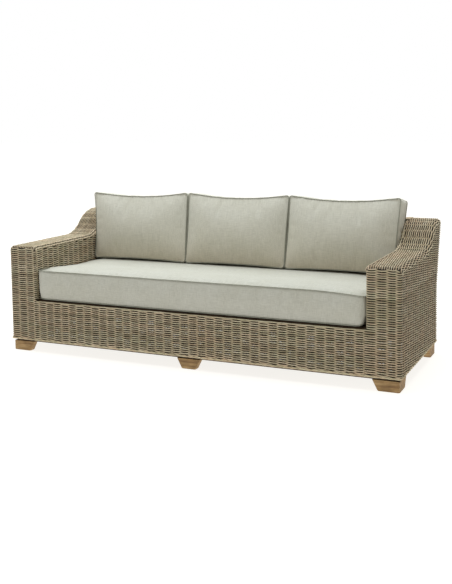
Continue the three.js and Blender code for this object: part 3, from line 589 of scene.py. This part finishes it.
def arm_top_line(under):
    """Side view of an arm top's strand: up the front edge, along the S and down the rear edge."""
    s_curve = sweep_points(under)
    radius = max(EDGE_ROUND - under, 0.003)
    drop = max(RIM + 0.002, under + 0.004)
    front = [(TOP_UNDER + 0.009, ARM_HEIGHT - drop), (TOP_UNDER + 0.003, ARM_HEIGHT - under)]
    rear = [(float(rear_depth(z, under)), z) for z in (BACK_HEIGHT - under, BACK_HEIGHT - drop)]
    start = rounded([*front, s_curve[0]], FOLD_ROUND)
    end = rounded([s_curve[-1], *rear], radius)
    return Line(np.concatenate([start[:-1], s_curve, end[1:]]))


TOP_DEPTH = float(rear_depth(BACK_HEIGHT - MID, MID))
TOP_PITCH = 0.0057
TOP_COUNT = round((ARM_OUTER - ARM_INNER) / TOP_PITCH)
TOP_STEP = 0.0078
EDGE_STRANDS = 5
FOLD_OVER = 25.0
ROPE_PROUD = 0.0055
ROPE_STEP = 0.0045
WALE_STEP = 0.0065
BACK_TOP_PITCH = 0.0058


def reach_at_depth(line, depth):
    """Distance along an arm top's line at a depth, between its two bent ends."""
    middle = line.points[:, 0] > 2 * EDGE_ROUND
    return float(np.interp(depth, line.points[middle, 0][:-8], line.reach[middle][:-8]))


def top_strand(strands, sign, index, turn, inner, last_depth=None):
    """One lengthwise weaver of an arm top. turn is how far over the rounded edge it lies."""
    under = TOP_UNDER + EDGE_ROUND * (1 - math.cos(turn))
    over = EDGE_ROUND * math.sin(turn)
    x = ARM_INNER - over if inner else ARM_OUTER + over
    if turn == 0:
        x = ARM_INNER + (ARM_OUTER - ARM_INNER) * index / TOP_COUNT
    line = arm_top_line(under)
    length = line.length
    if last_depth is not None:
        length = reach_at_depth(line, last_depth)
    stops = spaced(np.union1d(np.arange(0, length, TOP_STEP), line.reach[line.reach < length]))
    place, normal = line.at(stops)
    cell = TOP_CELLS * np.clip((place[:, 0] - MID) / (TOP_DEPTH - MID), 0, 1)
    cell -= FOLD_OVER * np.clip(ARM_HEIGHT - 0.008 - place[:, 1], 0, None)
    rng = np.random.default_rng([41, index + 20, sign + 1])
    wave = WAVE * ripple(cell + index)
    sway = 0.0004 * np.sin(2 * math.pi * (stops / 0.19 + rng.random()))
    aside = (-sign if inner else sign) * math.sin(turn)
    outward = vectors(aside, *(normal * math.cos(turn)).T)
    middle = vectors(sign * x + sway, FRONT_Y + place[:, 0], place[:, 1])
    girth = weaver_girth(rng, wave)
    tone = strand_tone(rng, stops)
    upright = np.clip(1.6 * np.abs(normal[:, 0]), 0, 1)
    tone[:, 1] += 0.5 * upright
    # Where the strand turns down over the front and rear edges it gets a little painted shade.
    relief = wave / WAVE - 0.15 * upright
    strands.add(middle + outward * wave[:, None], outward, girth, tone, relief)


def top_stakes(strands, sign):
    """Stakes that cross an arm top and bend down over both of its edges."""
    line = arm_top_line(TOP_UNDER)
    turns = np.linspace(0, math.pi / 2, 6)
    turns = np.concatenate([-turns[::-1], turns])
    xs = np.repeat([ARM_INNER, ARM_OUTER], 6) + EDGE_ROUND * np.sin(turns)
    drops = EDGE_ROUND * (1 - np.cos(turns))
    for stake in range(1, TOP_CELLS):
        rng = np.random.default_rng([42, stake, sign + 1])
        depth = MID + (TOP_DEPTH - MID) * stake / TOP_CELLS
        spot, up = line.at(np.interp(depth, line.points[:, 0], line.reach))
        points = vectors(sign * xs, FRONT_Y + spot[0] - up[0] * drops, spot[1] - up[1] * drops)
        outward = vectors(sign * np.sin(turns), *up)
        add_stake(strands, rng, points, outward, xs)


def weave_arm_top(sign):
    """The flat of an arm top: lengthwise weavers over stakes that cross the arm."""
    strands = Strands()
    for index in range(TOP_COUNT + 1):
        top_strand(strands, sign, index, 0, False)
    top_stakes(strands, sign)
    return strands


def weave_arm_edge(sign, inner):
    """The rounded edge of an arm top, and along the inner one two fine ropes."""
    strands = Strands()
    back = float(back_depth(BACK_HEIGHT - TOP_UNDER)) - 0.001 if inner else None
    for step in range(1, EDGE_STRANDS + 1):
        index = -step if inner else TOP_COUNT + step
        top_strand(strands, sign, index, step * TOP_PITCH / EDGE_ROUND, inner, back)
    if inner:
        add_lashing(strands, sign, math.radians(28))
        add_lashing(strands, sign, math.radians(68))
    return strands


def add_lashing(strands, sign, turn):
    """A fine rope along the inner edge of an arm top. turn is how far over the edge it lies."""
    under = TOP_UNDER + EDGE_ROUND * (1 - math.cos(turn)) - ROPE_PROUD
    x = ARM_INNER - (EDGE_ROUND + ROPE_PROUD) * math.sin(turn)
    line = arm_top_line(under)
    end = reach_at_depth(line, float(back_depth(BACK_HEIGHT - under)) - 0.006)
    stops = np.arange(0.004, end, ROPE_STEP)
    place, normal = line.at(stops)
    points = vectors(sign * x, FRONT_Y + place[:, 0], place[:, 1])
    outward = vectors(-sign * math.sin(turn), *(normal * math.cos(turn)).T)
    rope(strands, points, outward, 0.0020, 0.0026, 0.050, 2, 51, lighter=0.35)


def rope(strands, points, outward, radius, strand_radius, lay, count, seed, closed=False, lighter=0.0):
    """Strands twisted round a line, with a lay length for one turn."""
    across, beside = side_directions(np.gradient(points, axis=0), outward)
    reach = distances(points)
    turns = round(reach[-1] / lay) if closed else reach[-1] / lay
    for strand in range(count):
        rng = np.random.default_rng([seed, strand])
        angle = 2 * math.pi * (turns * reach / reach[-1] + strand / count)
        offset = radius * (np.cos(angle)[:, None] * across + np.sin(angle)[:, None] * beside)
        tone = strand_tone(rng, reach) + np.array([lighter, 0])
        # Relief here is painted shade: each strand is painted dark where it turns to the back of the
        # rope.
        strands.add(points + offset, across, strand_radius, tone, 0.2 + 0.7 * np.cos(angle))


def weave_back_top():
    """Rows along the top of the back, from its inner face over both rounded edges."""
    strands = Strands()
    low = BACK_HEIGHT - RIM
    top = BACK_HEIGHT - TOP_UNDER
    corners = [
        (float(back_depth(low, MID)), low),
        (float(back_depth(top, MID)), top),
        (float(rear_depth(top, FRONT)), top),
        (float(rear_depth(low, FRONT)), low),
    ]
    profile = Line(rounded(corners, CORNER))
    count = round(profile.length / BACK_TOP_PITCH)
    span = ARM_INNER - 0.0055
    cells = np.arange(math.ceil(rear_cell(span) * 4), math.floor(rear_cell(-span) * 4) + 1) / 4
    xs = np.concatenate([[span], rear_x(cells), [-span]])
    cells = rear_cell(xs)
    for index in range(count + 1):
        rng = np.random.default_rng([43, index])
        spot, normal = profile.at(profile.length * index / count)
        wave = WAVE * ripple(cells + index)
        points = vectors(xs, FRONT_Y + spot[0] + normal[0] * wave, spot[1] + normal[1] * wave)
        outward = vectors(0 * xs, *normal)
        girth = weaver_girth(rng, wave)
        strands.add(points, outward, girth, strand_tone(rng, -xs), wave / WAVE)
    reach = profile.reach
    place, normal = profile.at(reach)
    for cell in range(math.ceil(rear_cell(span)), math.floor(rear_cell(-span)) + 1):
        rng = np.random.default_rng([44, cell])
        points = vectors(rear_x(cell), FRONT_Y + place[:, 0], place[:, 1])
        add_stake(strands, rng, points, vectors(0, *normal.T), reach)
    return strands


def bottom_wale():
    """The thick twisted border round the bottom rim, as one closed ring."""
    strands = Strands()
    low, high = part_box("wale_front")
    height = (low.z + high.z) / 2 + 0.002
    inset = -0.0030
    side, rear = HALF_WIDTH - inset, BODY_DEPTH - inset
    corners = [(0, inset), (side, inset), (side, rear), (-side, rear), (-side, inset), (0, inset)]
    line = Line(rounded(corners, 0.010))
    stops = spaced(np.union1d(np.arange(0, line.length, WALE_STEP), line.reach))
    place, left = line.at(stops)
    points = vectors(place[:, 0], FRONT_Y + place[:, 1], height)
    rope(strands, points, vectors(*-left.T, 0), 0.0033, 0.0034, 0.115, 3, 61, closed=True, lighter=0.10)
    return strands


# Cushions. A plan runs across and along a cushion, and the height off its back panel is the third.

GRID = 0.0110
PIPING_RADIUS = 0.0024
BAND_BULGE = 0.004
CUSHION_PROUD = 0.0040
SEAT_THICKNESS = 0.160
SEAT_SAG, SAG_START, SAG_SPAN = 0.026, 0.31, 0.37
SEAT_DROOP, DROOP_SPAN = 0.016, 0.30
SEAT_RISE = 0.006
LOW_EDGE = 0.06
LOW_END = 0.050
BACK_THICKNESS = 0.150
BACK_CUSHION_HEIGHT = 0.395
BACK_CUSHION_FOOT = 0.4675
FOOT_BULGE = 0.008
BACK_SHIFTS = {
    "left": (-0.038, -0.010, 0.004, 0.010),
    "middle": (-0.008, 0.004, -0.003, 0.0),
    "right": (0.000, 0.013, -0.008, 0.0),
}


@dataclass
class Cushion:
    """A piped box cushion: two crowned panels and a band, on one grid with shared seam points. place
    lays the flat cushion down in the sofa."""

    name: str
    width: float
    height: float
    thickness: float
    crown: float
    under_crown: float
    draw_in: float
    top_dip: float
    corner: float
    place: object

    def stops(self, length):
        """Grid stops from -1 to 1, with three steps through each rounded corner."""
        corner = 2 * self.corner / length
        ends = -1 + corner * np.arange(3) / 3
        inner = np.linspace(-1 + corner, 1 - corner, round((length - 2 * self.corner) / GRID) + 1)
        return np.concatenate([ends, inner, -ends[::-1]])

    def plan(self, u, v):
        """Plan position of grid places, with rounded corners, drawn-in sides and a dipped top."""
        x, y = u * self.width / 2, v * self.height / 2
        corner_x = np.clip(np.abs(x) - (self.width / 2 - self.corner), 0, None)
        corner_y = np.clip(np.abs(y) - (self.height / 2 - self.corner), 0, None)
        reach = np.hypot(corner_x, corner_y)
        pull = np.where(reach > 0, np.maximum(corner_x, corner_y) / np.where(reach > 0, reach, 1) - 1, 0)
        x = x + np.sign(x) * corner_x * pull
        y = y + np.sign(y) * corner_y * pull
        x = x - self.draw_in * u * (1 - v**2)
        dip = np.where(v > 0, self.top_dip, self.top_dip * 0.3)
        y = y - dip * v * (1 - u**2)
        return x, y

    def build(self):
        """Points of both panels and the band between them, and their faces."""
        u, v = np.meshgrid(self.stops(self.width), self.stops(self.height), indexing="ij")
        x, y = self.plan(u, v)
        share = (1 - u**4) * (1 - v**4)
        low = np.stack([x, y, -self.under_crown * share], -1)
        high = np.stack([x, y, self.thickness + self.crown * share], -1)
        points = [low.reshape(-1, 3), high.reshape(-1, 3)]
        number = np.arange(u.size).reshape(u.shape)
        quads = np.stack([number[:-1, :-1], number[1:, :-1], number[1:, 1:], number[:-1, 1:]], -1)
        quads = quads.reshape(-1, 4)
        faces = [quads[:, ::-1], quads + u.size]
        ring = np.concatenate([number[:-1, 0], number[-1, :-1], number[:0:-1, -1], number[0, :0:-1]])
        edge = np.stack([x, y], -1).reshape(-1, 2)[ring]
        ahead = np.roll(edge, -1, 0) - np.roll(edge, 1, 0)
        out = np.stack([ahead[:, 1], -ahead[:, 0]], 1) / np.linalg.norm(ahead, axis=1)[:, None]
        steps = max(4, round(self.thickness / GRID))
        rings = [ring]
        first = 2 * u.size
        for step in range(1, steps):
            share = step / steps
            spot = edge + out * (BAND_BULGE * 4 * share * (1 - share))
            points.append(vectors(*spot.T, self.thickness * share))
            rings.append(first + np.arange(len(ring)))
            first += len(ring)
        rings.append(ring + u.size)
        for lower, upper in zip(rings, rings[1:]):
            faces.append(np.stack([lower, np.roll(lower, -1), np.roll(upper, -1), upper], -1))
        self.low_seam, self.high_seam = rings[0], rings[-1]
        self.panel_size = u.size
        return np.concatenate(points), np.concatenate(faces)


def seat_place(middle, base, width, depth):
    """Lays the seat cushion down. Its top sags from behind its front edge to the back cushions and
    droops towards its right end, and its lower front edge and ends are rounded off."""
    def place(points):
        x, y, z = points.T
        share = np.clip((y + SAG_START) / SAG_SPAN, 0, 1)
        droop = np.clip((x - width / 2 + DROOP_SPAN) / DROOP_SPAN, 0, 1)
        sunk = SEAT_SAG * share**2 * (3 - 2 * share) + SEAT_DROOP * droop**2 - SEAT_RISE
        sunk = sunk * z / SEAT_THICKNESS
        end = np.clip((np.abs(x) - width / 2 + LOW_END) / LOW_END, 0, 1)
        front = np.clip((LOW_EDGE - depth / 2 - y) / LOW_EDGE, 0, 1)
        lowness = (1 - np.clip(z / SEAT_THICKNESS, 0, 1)) ** 2
        raised = (0.012 * end**2 + 0.006 * front**2) * lowness
        inward = -np.sign(x) * 0.010 * end**2 * lowness
        return points + vectors(inward, middle, base - sunk + raised)
    return place


def back_place(middle_x, rear, base, width, left, right, foot, drop):
    """Stands a cushion against the back: its rear panel leans, and its underside stays level. Its
    top corners are shifted sideways by left and right, its foot by foot, and its left top corner
    is lower by drop."""
    def place(points):
        x, y, z = points.T
        up = y + BACK_CUSHION_HEIGHT / 2
        share = np.clip(up / BACK_CUSHION_HEIGHT, 0, 1)
        rightward = np.clip(0.5 + x / width, 0, 1)
        aside = share**1.8 * (left + (right - left) * rightward) + foot * (1 - share) ** 2
        forward = FOOT_BULGE * (1 - share) ** 2 * z / BACK_THICKNESS
        depth = rear + up * math.sin(LEAN_ANGLE) - z * math.cos(LEAN_ANGLE) - forward
        tilt = z * math.sin(LEAN_ANGLE) * share
        height = base + up * math.cos(LEAN_ANGLE) + tilt - drop * share**2 * (1 - rightward)
        return vectors(middle_x + x + aside, depth, height)
    return place


def mesh_object(name, points, faces, material):
    """A smooth mesh from points and faces."""
    mesh = bpy.data.meshes.new(name)
    mesh.from_pydata(points.tolist(), [], faces.tolist())
    mesh.polygons.foreach_set("use_smooth", np.ones(len(faces), bool))
    mesh.update()
    mesh.materials.append(material)
    return add_object(name, mesh)


def inflate(piece, held, pressure, slack, cap):
    """Fills a cushion by cloth simulation. held is how firmly each point keeps its place, slack is
    how much larger the cloth is cut, and cap is how far a point may move."""
    rest = np.array([vertex.co for vertex in piece.data.vertices])
    group = piece.vertex_groups.new(name="held")
    for weight in np.unique(held):
        if weight > 0:
            group.add(np.flatnonzero(held == weight).tolist(), float(weight), "REPLACE")
    modifier = piece.modifiers.new("filling", "CLOTH")
    cloth = modifier.settings
    cloth.quality = 5
    cloth.mass = 0.3
    cloth.tension_stiffness, cloth.compression_stiffness = 25.0, 12.0
    cloth.shear_stiffness, cloth.bending_stiffness = 8.0, 1.2
    cloth.use_pressure = True
    cloth.uniform_pressure_force = pressure
    cloth.vertex_group_mass = "held"
    cloth.shrink_min = -slack
    cloth.effector_weights.gravity = 0.0
    modifier.collision_settings.use_collision = False
    modifier.collision_settings.use_self_collision = False
    for step in range(1, 21):
        bpy.context.scene.frame_set(step)
    filled = piece.evaluated_get(bpy.context.evaluated_depsgraph_get())
    shaped = np.array([vertex.co for vertex in filled.data.vertices])
    move = shaped - rest
    reach = np.linalg.norm(move, axis=1)
    shaped = rest + move * np.minimum(1, cap / np.maximum(reach, 1e-9))[:, None]
    piece.modifiers.remove(modifier)
    bpy.context.scene.frame_set(1)
    piece.data.vertices.foreach_set("co", shaped.astype(np.float32).ravel())
    piece.data.update()
    return shaped


def seam_piping(name, points, outward, radius, material):
    """A closed cord along a seam, standing just out of it."""
    points = points + outward * radius * 0.75
    across, beside = side_directions(np.roll(points, -1, 0) - np.roll(points, 1, 0), outward)
    corners = points[:, None] + radius * rings(np.arange(8) * math.pi / 4, across, beside)
    number = np.arange(len(points) * 8).reshape(-1, 8)
    after, beyond = np.roll(number, -1, 1), np.roll(number, -1, 0)
    faces = np.stack([number, after, np.roll(beyond, -1, 1), beyond], -1).reshape(-1, 4)
    return mesh_object(name, corners.reshape(-1, 3), faces, material)


def add_cushion(cushion, fabric, cord, cap):
    """Builds, fills, seams and pipes one cushion, and puts it on its own body. cap is how far the
    filling may push a point."""
    points, faces = cushion.build()
    placed = cushion.place(points)
    piece = mesh_object("stuffed_" + cushion.name, placed, faces, fabric)
    held = np.zeros(len(points))
    held[: cushion.panel_size] = 1.0
    share = np.clip(points[:, 2] / cushion.thickness, 0, 1)
    held = np.maximum(held, np.round(np.clip(1 - share * 3, 0, 1), 1))
    held[cushion.high_seam] = 0.75
    held[cushion.low_seam] = 1.0
    placed = inflate(piece, held, 3.5, 0.012, cap)
    normals = np.array([vertex.normal for vertex in piece.data.vertices])
    for seam, label in ((cushion.high_seam, "front"), (cushion.low_seam, "rear")):
        seam_points, outward = placed[seam], normals[seam]
        for _ in range(2):
            outward = outward + np.roll(outward, 1, 0) + np.roll(outward, -1, 0)
            outward /= np.linalg.norm(outward, axis=1)[:, None]
        piping = seam_piping(f"{cushion.name}_piping_{label}", seam_points, outward, PIPING_RADIUS, cord)
        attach(piping, cushion.name)
        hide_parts(cushion.name)
    smooth = piece.modifiers.new("smooth", "SUBSURF")
    smooth.levels = smooth.render_levels = 1
    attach(piece, cushion.name)
    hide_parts(cushion.name)


# Materials

def srgb(red, green, blue):
    """Linear colour of sRGB bytes."""
    values = np.array([red, green, blue]) / 255
    linear = np.where(values <= 0.04045, values / 12.92, ((values + 0.055) / 1.055) ** 2.4)
    return tuple(map(float, linear))


class Paint:
    """A material in the making, with the kinds of node that the materials here share."""

    def __init__(self, name):
        self.material = bpy.data.materials.new(name)
        self.material.use_nodes = True
        self.nodes, self.links = self.material.node_tree.nodes, self.material.node_tree.links
        self.shader = self.nodes["Principled BSDF"]
        self.place = self.nodes.new("ShaderNodeTexCoord").outputs["Object"]

    def node(self, kind, source=None, into=0, **values):
        """A new node, with an output of another one linked into it and inputs set by name."""
        node = self.nodes.new(kind)
        if source is not None:
            self.links.new(source, node.inputs[into])
        for name, value in values.items():
            node.inputs[name.replace("_", " ")].default_value = value
        return node

    def stretched(self, scale):
        """The place in the object, stretched."""
        return self.node("ShaderNodeMapping", self.place, "Vector", Scale=scale).outputs["Vector"]

    def noise(self, vector, scale, detail=3.0, roughness=0.5):
        """Fine or coarse noise, from 0 to 1."""
        node = self.node("ShaderNodeTexNoise", vector, "Vector",
                         Scale=scale, Detail=detail, Roughness=roughness)
        return node.outputs["Fac"]

    def math(self, operation, source):
        """A maths node with its first number linked."""
        node = self.node("ShaderNodeMath", source)
        node.operation = operation
        return node

    def ramp(self, factor, stops):
        """Colours along a factor, each stop a place and a colour."""
        node = self.node("ShaderNodeValToRGB", factor, "Fac")
        while len(node.color_ramp.elements) < len(stops):
            node.color_ramp.elements.new(0.5)
        for element, (position, colour) in zip(node.color_ramp.elements, stops):
            element.position = position
            element.color = (*colour, 1)
        return node.outputs["Color"]

    def multiply(self, first, second, share=1.0):
        """One colour multiplied by another, by a share."""
        node = self.nodes.new("ShaderNodeMix")
        node.data_type, node.blend_type = "RGBA", "MULTIPLY"
        node.inputs[0].default_value = share
        self.links.new(first, node.inputs[6])
        self.links.new(second, node.inputs[7])
        return node.outputs[2]

    def bump(self, height, strength, distance):
        """Fine relief on the surface."""
        node = self.node("ShaderNodeBump", height, "Height", Strength=strength, Distance=distance)
        self.feed(Normal=node.outputs["Normal"])

    def feed(self, **sources):
        """Links outputs to the shader's sockets by name."""
        for name, source in sources.items():
            self.links.new(source, self.shader.inputs[name.replace("_", " ")])

    def set(self, **values):
        """Sets the shader's sockets by name."""
        for name, value in values.items():
            self.shader.inputs[name.replace("_", " ")].default_value = value


def rattan_material(name, lightness):
    """Weathered grey-brown rattan core, each strand in its own tone, with painted shade where it dips
    and on its flanks and painted light on what stands out.
    """
    paint = Paint(name)
    strand = paint.nodes.new("ShaderNodeAttribute")
    strand.attribute_name = "strand"
    split = paint.node("ShaderNodeSeparateColor", strand.outputs["Color"], "Color")
    tone = paint.ramp(split.outputs["Red"], [
        (0.0, srgb(*(lightness * np.array([142, 128, 103])))),
        (0.45, srgb(*(lightness * np.array([193, 180, 153])))),
        (1.0, srgb(*(lightness * np.array([232, 222, 198])))),
    ])
    warm = paint.ramp(split.outputs["Green"], [
        (0.0, (0.97, 1.00, 0.95)),
        (0.5, (1.00, 1.00, 1.00)),
        (1.0, (1.05, 0.98, 0.94)),
    ])
    patches = paint.ramp(paint.noise(paint.place, 5.5), [
        (0.36, (0.97, 0.99, 0.95)),
        (0.50, (1.00, 1.00, 1.00)),
        (0.64, (1.03, 0.98, 0.95)),
    ])
    # Painted shade and light from the strand attribute's blue: near black deep in the weave and on
    # flanks, full brightness on what stands out.
    painted_recess_shade = paint.ramp(split.outputs["Blue"], [
        (0.20, (0.03, 0.025, 0.015)),
        (0.36, (0.08, 0.065, 0.04)),
        (0.45, (0.45, 0.43, 0.39)),
        (0.54, (0.68, 0.67, 0.65)),
        (0.90, (1.00, 1.00, 1.00)),
    ])
    for layer in (warm, patches, painted_recess_shade):
        tone = paint.multiply(tone, layer)
    grain = paint.noise(paint.place, 320.0, 5.0, 0.65)
    fibre = paint.ramp(grain, [(0.3, (0.76, 0.74, 0.70)), (0.7, (1.10, 1.10, 1.10))])
    rough = paint.node("ShaderNodeMapRange", grain, "Value", To_Min=0.62, To_Max=0.85)
    paint.feed(Base_Color=paint.multiply(tone, fibre, 0.8), Roughness=rough.outputs["Result"])
    paint.bump(grain, 0.35, 0.0006)
    return paint.material


def linen_material(name, light, dark, foot=False):
    """Woven linen: crossing threads, uneven slubs and a faint sheen. foot makes it browner below:
    painted warm shade, as from light bounced off the rattan.
    """
    paint = Paint(name)
    across, along = (paint.stretched(scale) for scale in ((0.05, 1.0, 1.0), (1.0, 0.05, 0.05)))
    crossing = paint.math("ADD", paint.noise(across, 520.0, 2.0))
    paint.links.new(paint.noise(along, 520.0, 2.0), crossing.inputs[1])
    threads = paint.math("MULTIPLY", crossing.outputs["Value"])
    threads.inputs[1].default_value = 0.5
    threads = threads.outputs["Value"]
    colour = paint.ramp(threads, [(0.34, srgb(*dark)), (0.66, srgb(*light))])
    mottle = paint.noise(paint.place, 7.0)
    mottle = paint.ramp(mottle, [(0.35, (0.965, 0.962, 0.945)), (0.65, (1, 1, 1))])
    colour = paint.multiply(colour, mottle)
    if foot:
        # Painted warm shade towards the foot of the cushion, standing in for light bounced off the
        # rattan.
        height = paint.node("ShaderNodeSeparateXYZ", paint.place, "Vector").outputs["Z"]
        painted_foot_shade = paint.ramp(height, [
            (0.47, (1.00, 0.920, 0.84)),
            (0.60, (1.00, 0.975, 0.94)),
            (0.76, (1.00, 1.000, 1.00)),
        ])
        colour = paint.multiply(colour, painted_foot_shade)
    paint.feed(Base_Color=colour)
    paint.set(Roughness=0.92, Sheen_Weight=0.12, Sheen_Roughness=0.5)
    paint.bump(threads, 0.3, 0.0005)
    return paint.material


def wood_material(name, colours, scale):
    """Straight-grained wood with the grain along X, in three colours from dark to light."""
    paint = Paint(name)
    grain = paint.noise(paint.stretched((0.09, 1.0, 1.0)), scale, 6.0, 0.6)
    tone = paint.ramp(grain, [(at, srgb(*colour)) for at, colour in zip((0.32, 0.5, 0.68), colours)])
    blotch = paint.ramp(paint.noise(paint.place, 26.0), [
        (0.35, (0.80, 0.78, 0.74)),
        (0.65, (1.08, 1.06, 1.02)),
    ])
    paint.feed(Base_Color=paint.multiply(tone, blotch, 0.8))
    paint.set(Roughness=0.62)
    paint.bump(grain, 0.25, 0.0008)
    return paint.material


def add_camera():
    """The photograph's viewpoint, fitted to the corners of the body, the arms and the cushions."""
    data = bpy.data.cameras.new("camera")
    camera = add_object("camera", data)
    photo_width, photo_height = 452, 584
    focal, centre_x, centre_y = 895.39, 227.61, 198.93
    yaw, pitch, roll = (math.radians(angle) for angle in (24.667, 5.057, -0.766))
    data.sensor_width = 36.0
    data.lens = data.sensor_width * focal / photo_height
    data.shift_x = (photo_width / 2 - centre_x) / photo_height
    data.shift_y = (centre_y - photo_height / 2) / photo_height
    turn = Matrix.Rotation(yaw, 4, "Z") @ Matrix.Rotation(math.pi / 2 - pitch, 4, "X")
    turn = turn @ Matrix.Rotation(roll, 4, "Z")
    camera.matrix_world = Matrix.Translation((2.16380, FRONT_Y - 4.17385, 1.32804)) @ turn
    bpy.context.scene.camera = camera


def add_studio():
    """A pale floor that glows, a soft overhead light and an even white surround. The glow is painted
    light that fills in the floor's shadow, a little weaker near the sofa, which leaves a faint painted
    shade there.
    """
    mesh = bpy.data.meshes.new("floor")
    mesh.from_pydata([(-40, -40, 0), (40, -40, 0), (40, 40, 0), (-40, 40, 0)], [], [(0, 1, 2, 3)])
    floor = add_object("floor", mesh)
    paint = Paint("floor_paint")
    paint.set(Base_Color=(0.25, 0.25, 0.25, 1), Roughness=0.9, Emission_Color=(1, 0.98, 0.94, 1))
    # Painted light: the floor glows to fill in its shadow, least near the sofa, leaving a faint painted
    # shade there.
    away = paint.node("ShaderNodeVectorMath", paint.stretched((1 / 1.5, 1.0, 1.0)))
    away.operation = "LENGTH"
    glow = paint.node("ShaderNodeMapRange", away.outputs["Value"], "Value",
                      From_Min=0.30, From_Max=1.9, To_Min=0.86, To_Max=1.00)
    glow.interpolation_type = "SMOOTHSTEP"
    paint.feed(Emission_Strength=glow.outputs["Result"])
    mesh.materials.append(paint.material)
    light = bpy.data.lights.new("overhead", "AREA")
    light.shape = "RECTANGLE"
    light.size, light.size_y = 7.0, 5.0
    light.energy = 312.0
    light.color = (0.94, 0.975, 1.0)
    add_object("overhead", light).location = (-1.1, 0.6, 4.2)
    world = bpy.data.worlds.new("studio")
    bpy.context.scene.world = world
    world.use_nodes = True
    nodes, links = world.node_tree.nodes, world.node_tree.links
    surround = nodes["Background"]
    surround.inputs["Strength"].default_value = 0.25
    seen = nodes.new("ShaderNodeBackground")
    seen.inputs["Color"].default_value = (1, 1, 1, 1)
    surround.inputs["Color"].default_value = (1, 0.97, 0.92, 1)
    mix = nodes.new("ShaderNodeMixShader")
    path = nodes.new("ShaderNodeLightPath")
    links.new(path.outputs["Is Camera Ray"], mix.inputs[0])
    links.new(surround.outputs[0], mix.inputs[1])
    links.new(seen.outputs[0], mix.inputs[2])
    links.new(mix.outputs[0], nodes["World Output"].inputs["Surface"])
    bpy.context.scene.view_settings.view_transform = "Standard"
    bpy.context.scene.view_settings.look = "None"


def paint_frame():
    """Bare wood for the feet and the frame, which stay as the CAD part has them."""
    hardwood = wood_material("frame_hardwood", [(74, 58, 40), (96, 76, 54), (118, 96, 70)], 60.0)
    oak = wood_material("foot_oak", [(124, 93, 56), (164, 131, 84), (192, 161, 114)], 90.0)
    for name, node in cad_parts.items():
        foot = name.startswith("foot_")
        if foot or any(part in name for part in ("rail", "post", "slat", "rib")):
            node.data.materials.clear()
            node.data.materials.append(oak if foot else hardwood)


def place_woven(strands, name, nodes, material):
    """Puts a woven piece on the sofa's body, in place of the CAD nodes that it stands for."""
    piece = strands.build(name, material)
    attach(piece, "sofa_frame")
    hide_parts(*nodes)


def add_weave():
    """Every woven piece of the sofa."""
    rattan = rattan_material("weathered_rattan", 1.0)
    edging = rattan_material("weathered_rattan_edging", 1.06)
    skins = weave_shell()
    skins["back_top_weave"] = weave_back_top()
    for node, strands in skins.items():
        place_woven(strands, "woven_" + node.replace("_weave", ""), [node], rattan)
    for sign, side in sorted(SIDES.items()):
        top, node = weave_arm_top(sign), f"arm_top_weave_{side}"
        place_woven(top, f"woven_arm_top_{side}", [node], rattan)
        for edge in ("outer", "inner"):
            roll = weave_arm_edge(sign, edge == "inner")
            node = f"arm_edge_braid_{side}_{edge}"
            place_woven(roll, f"rolled_edge_{side}_{edge}", [node], rattan)
    wales = [f"wale_{side}" for side in ("front", "rear", "left", "right")]
    place_woven(bottom_wale(), "twisted_bottom_wale", wales, edging)


def add_cushions():
    """The seat cushion, and three back cushions that stand on it and lean on the back."""
    linen = linen_material("cushion_linen", (207, 207, 196), (181, 181, 169))
    back_linen = linen_material("back_cushion_linen", (216, 215, 203), (190, 189, 176), foot=True)
    # The piping cord is painted darker than the linen: painted shade for the shadow line along each
    # seam.
    piping_cord_painted_shade = linen_material("piping_cord_painted_shade", (158, 159, 144), (130, 131, 117))
    low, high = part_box("seat_cushion")
    width, depth = high.x - low.x + 0.002, high.y - low.y - 2 * CUSHION_PROUD
    place = seat_place((low.y + high.y) / 2, low.z + 0.0042, width, depth)
    seat = Cushion("seat_cushion", width, depth, SEAT_THICKNESS, crown=0.004, under_crown=0.002,
                   draw_in=0.002, top_dip=0.0, corner=0.028, place=place)
    add_cushion(seat, linen, piping_cord_painted_shade, 0.010)
    pitch = 2 * SEAT_HALF / 3
    width = pitch - 0.009
    rear = FRONT_Y + float(back_depth(BACK_CUSHION_FOOT)) - CUSHION_PROUD - 0.0003
    for offset, (side, shifts) in enumerate(BACK_SHIFTS.items(), -1):
        name = f"back_cushion_{side}"
        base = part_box(name)[0].z + CUSHION_PROUD - 0.008
        place = back_place(offset * pitch, rear, base, width, *shifts)
        back = Cushion(name, width, BACK_CUSHION_HEIGHT, BACK_THICKNESS, crown=0.024, under_crown=0.002,
                       draw_in=0.003, top_dip=0.024, corner=0.018, place=place)
        add_cushion(back, back_linen, piping_cord_painted_shade, 0.024)


add_camera()
add_studio()
paint_frame()
add_weave()
add_cushions()
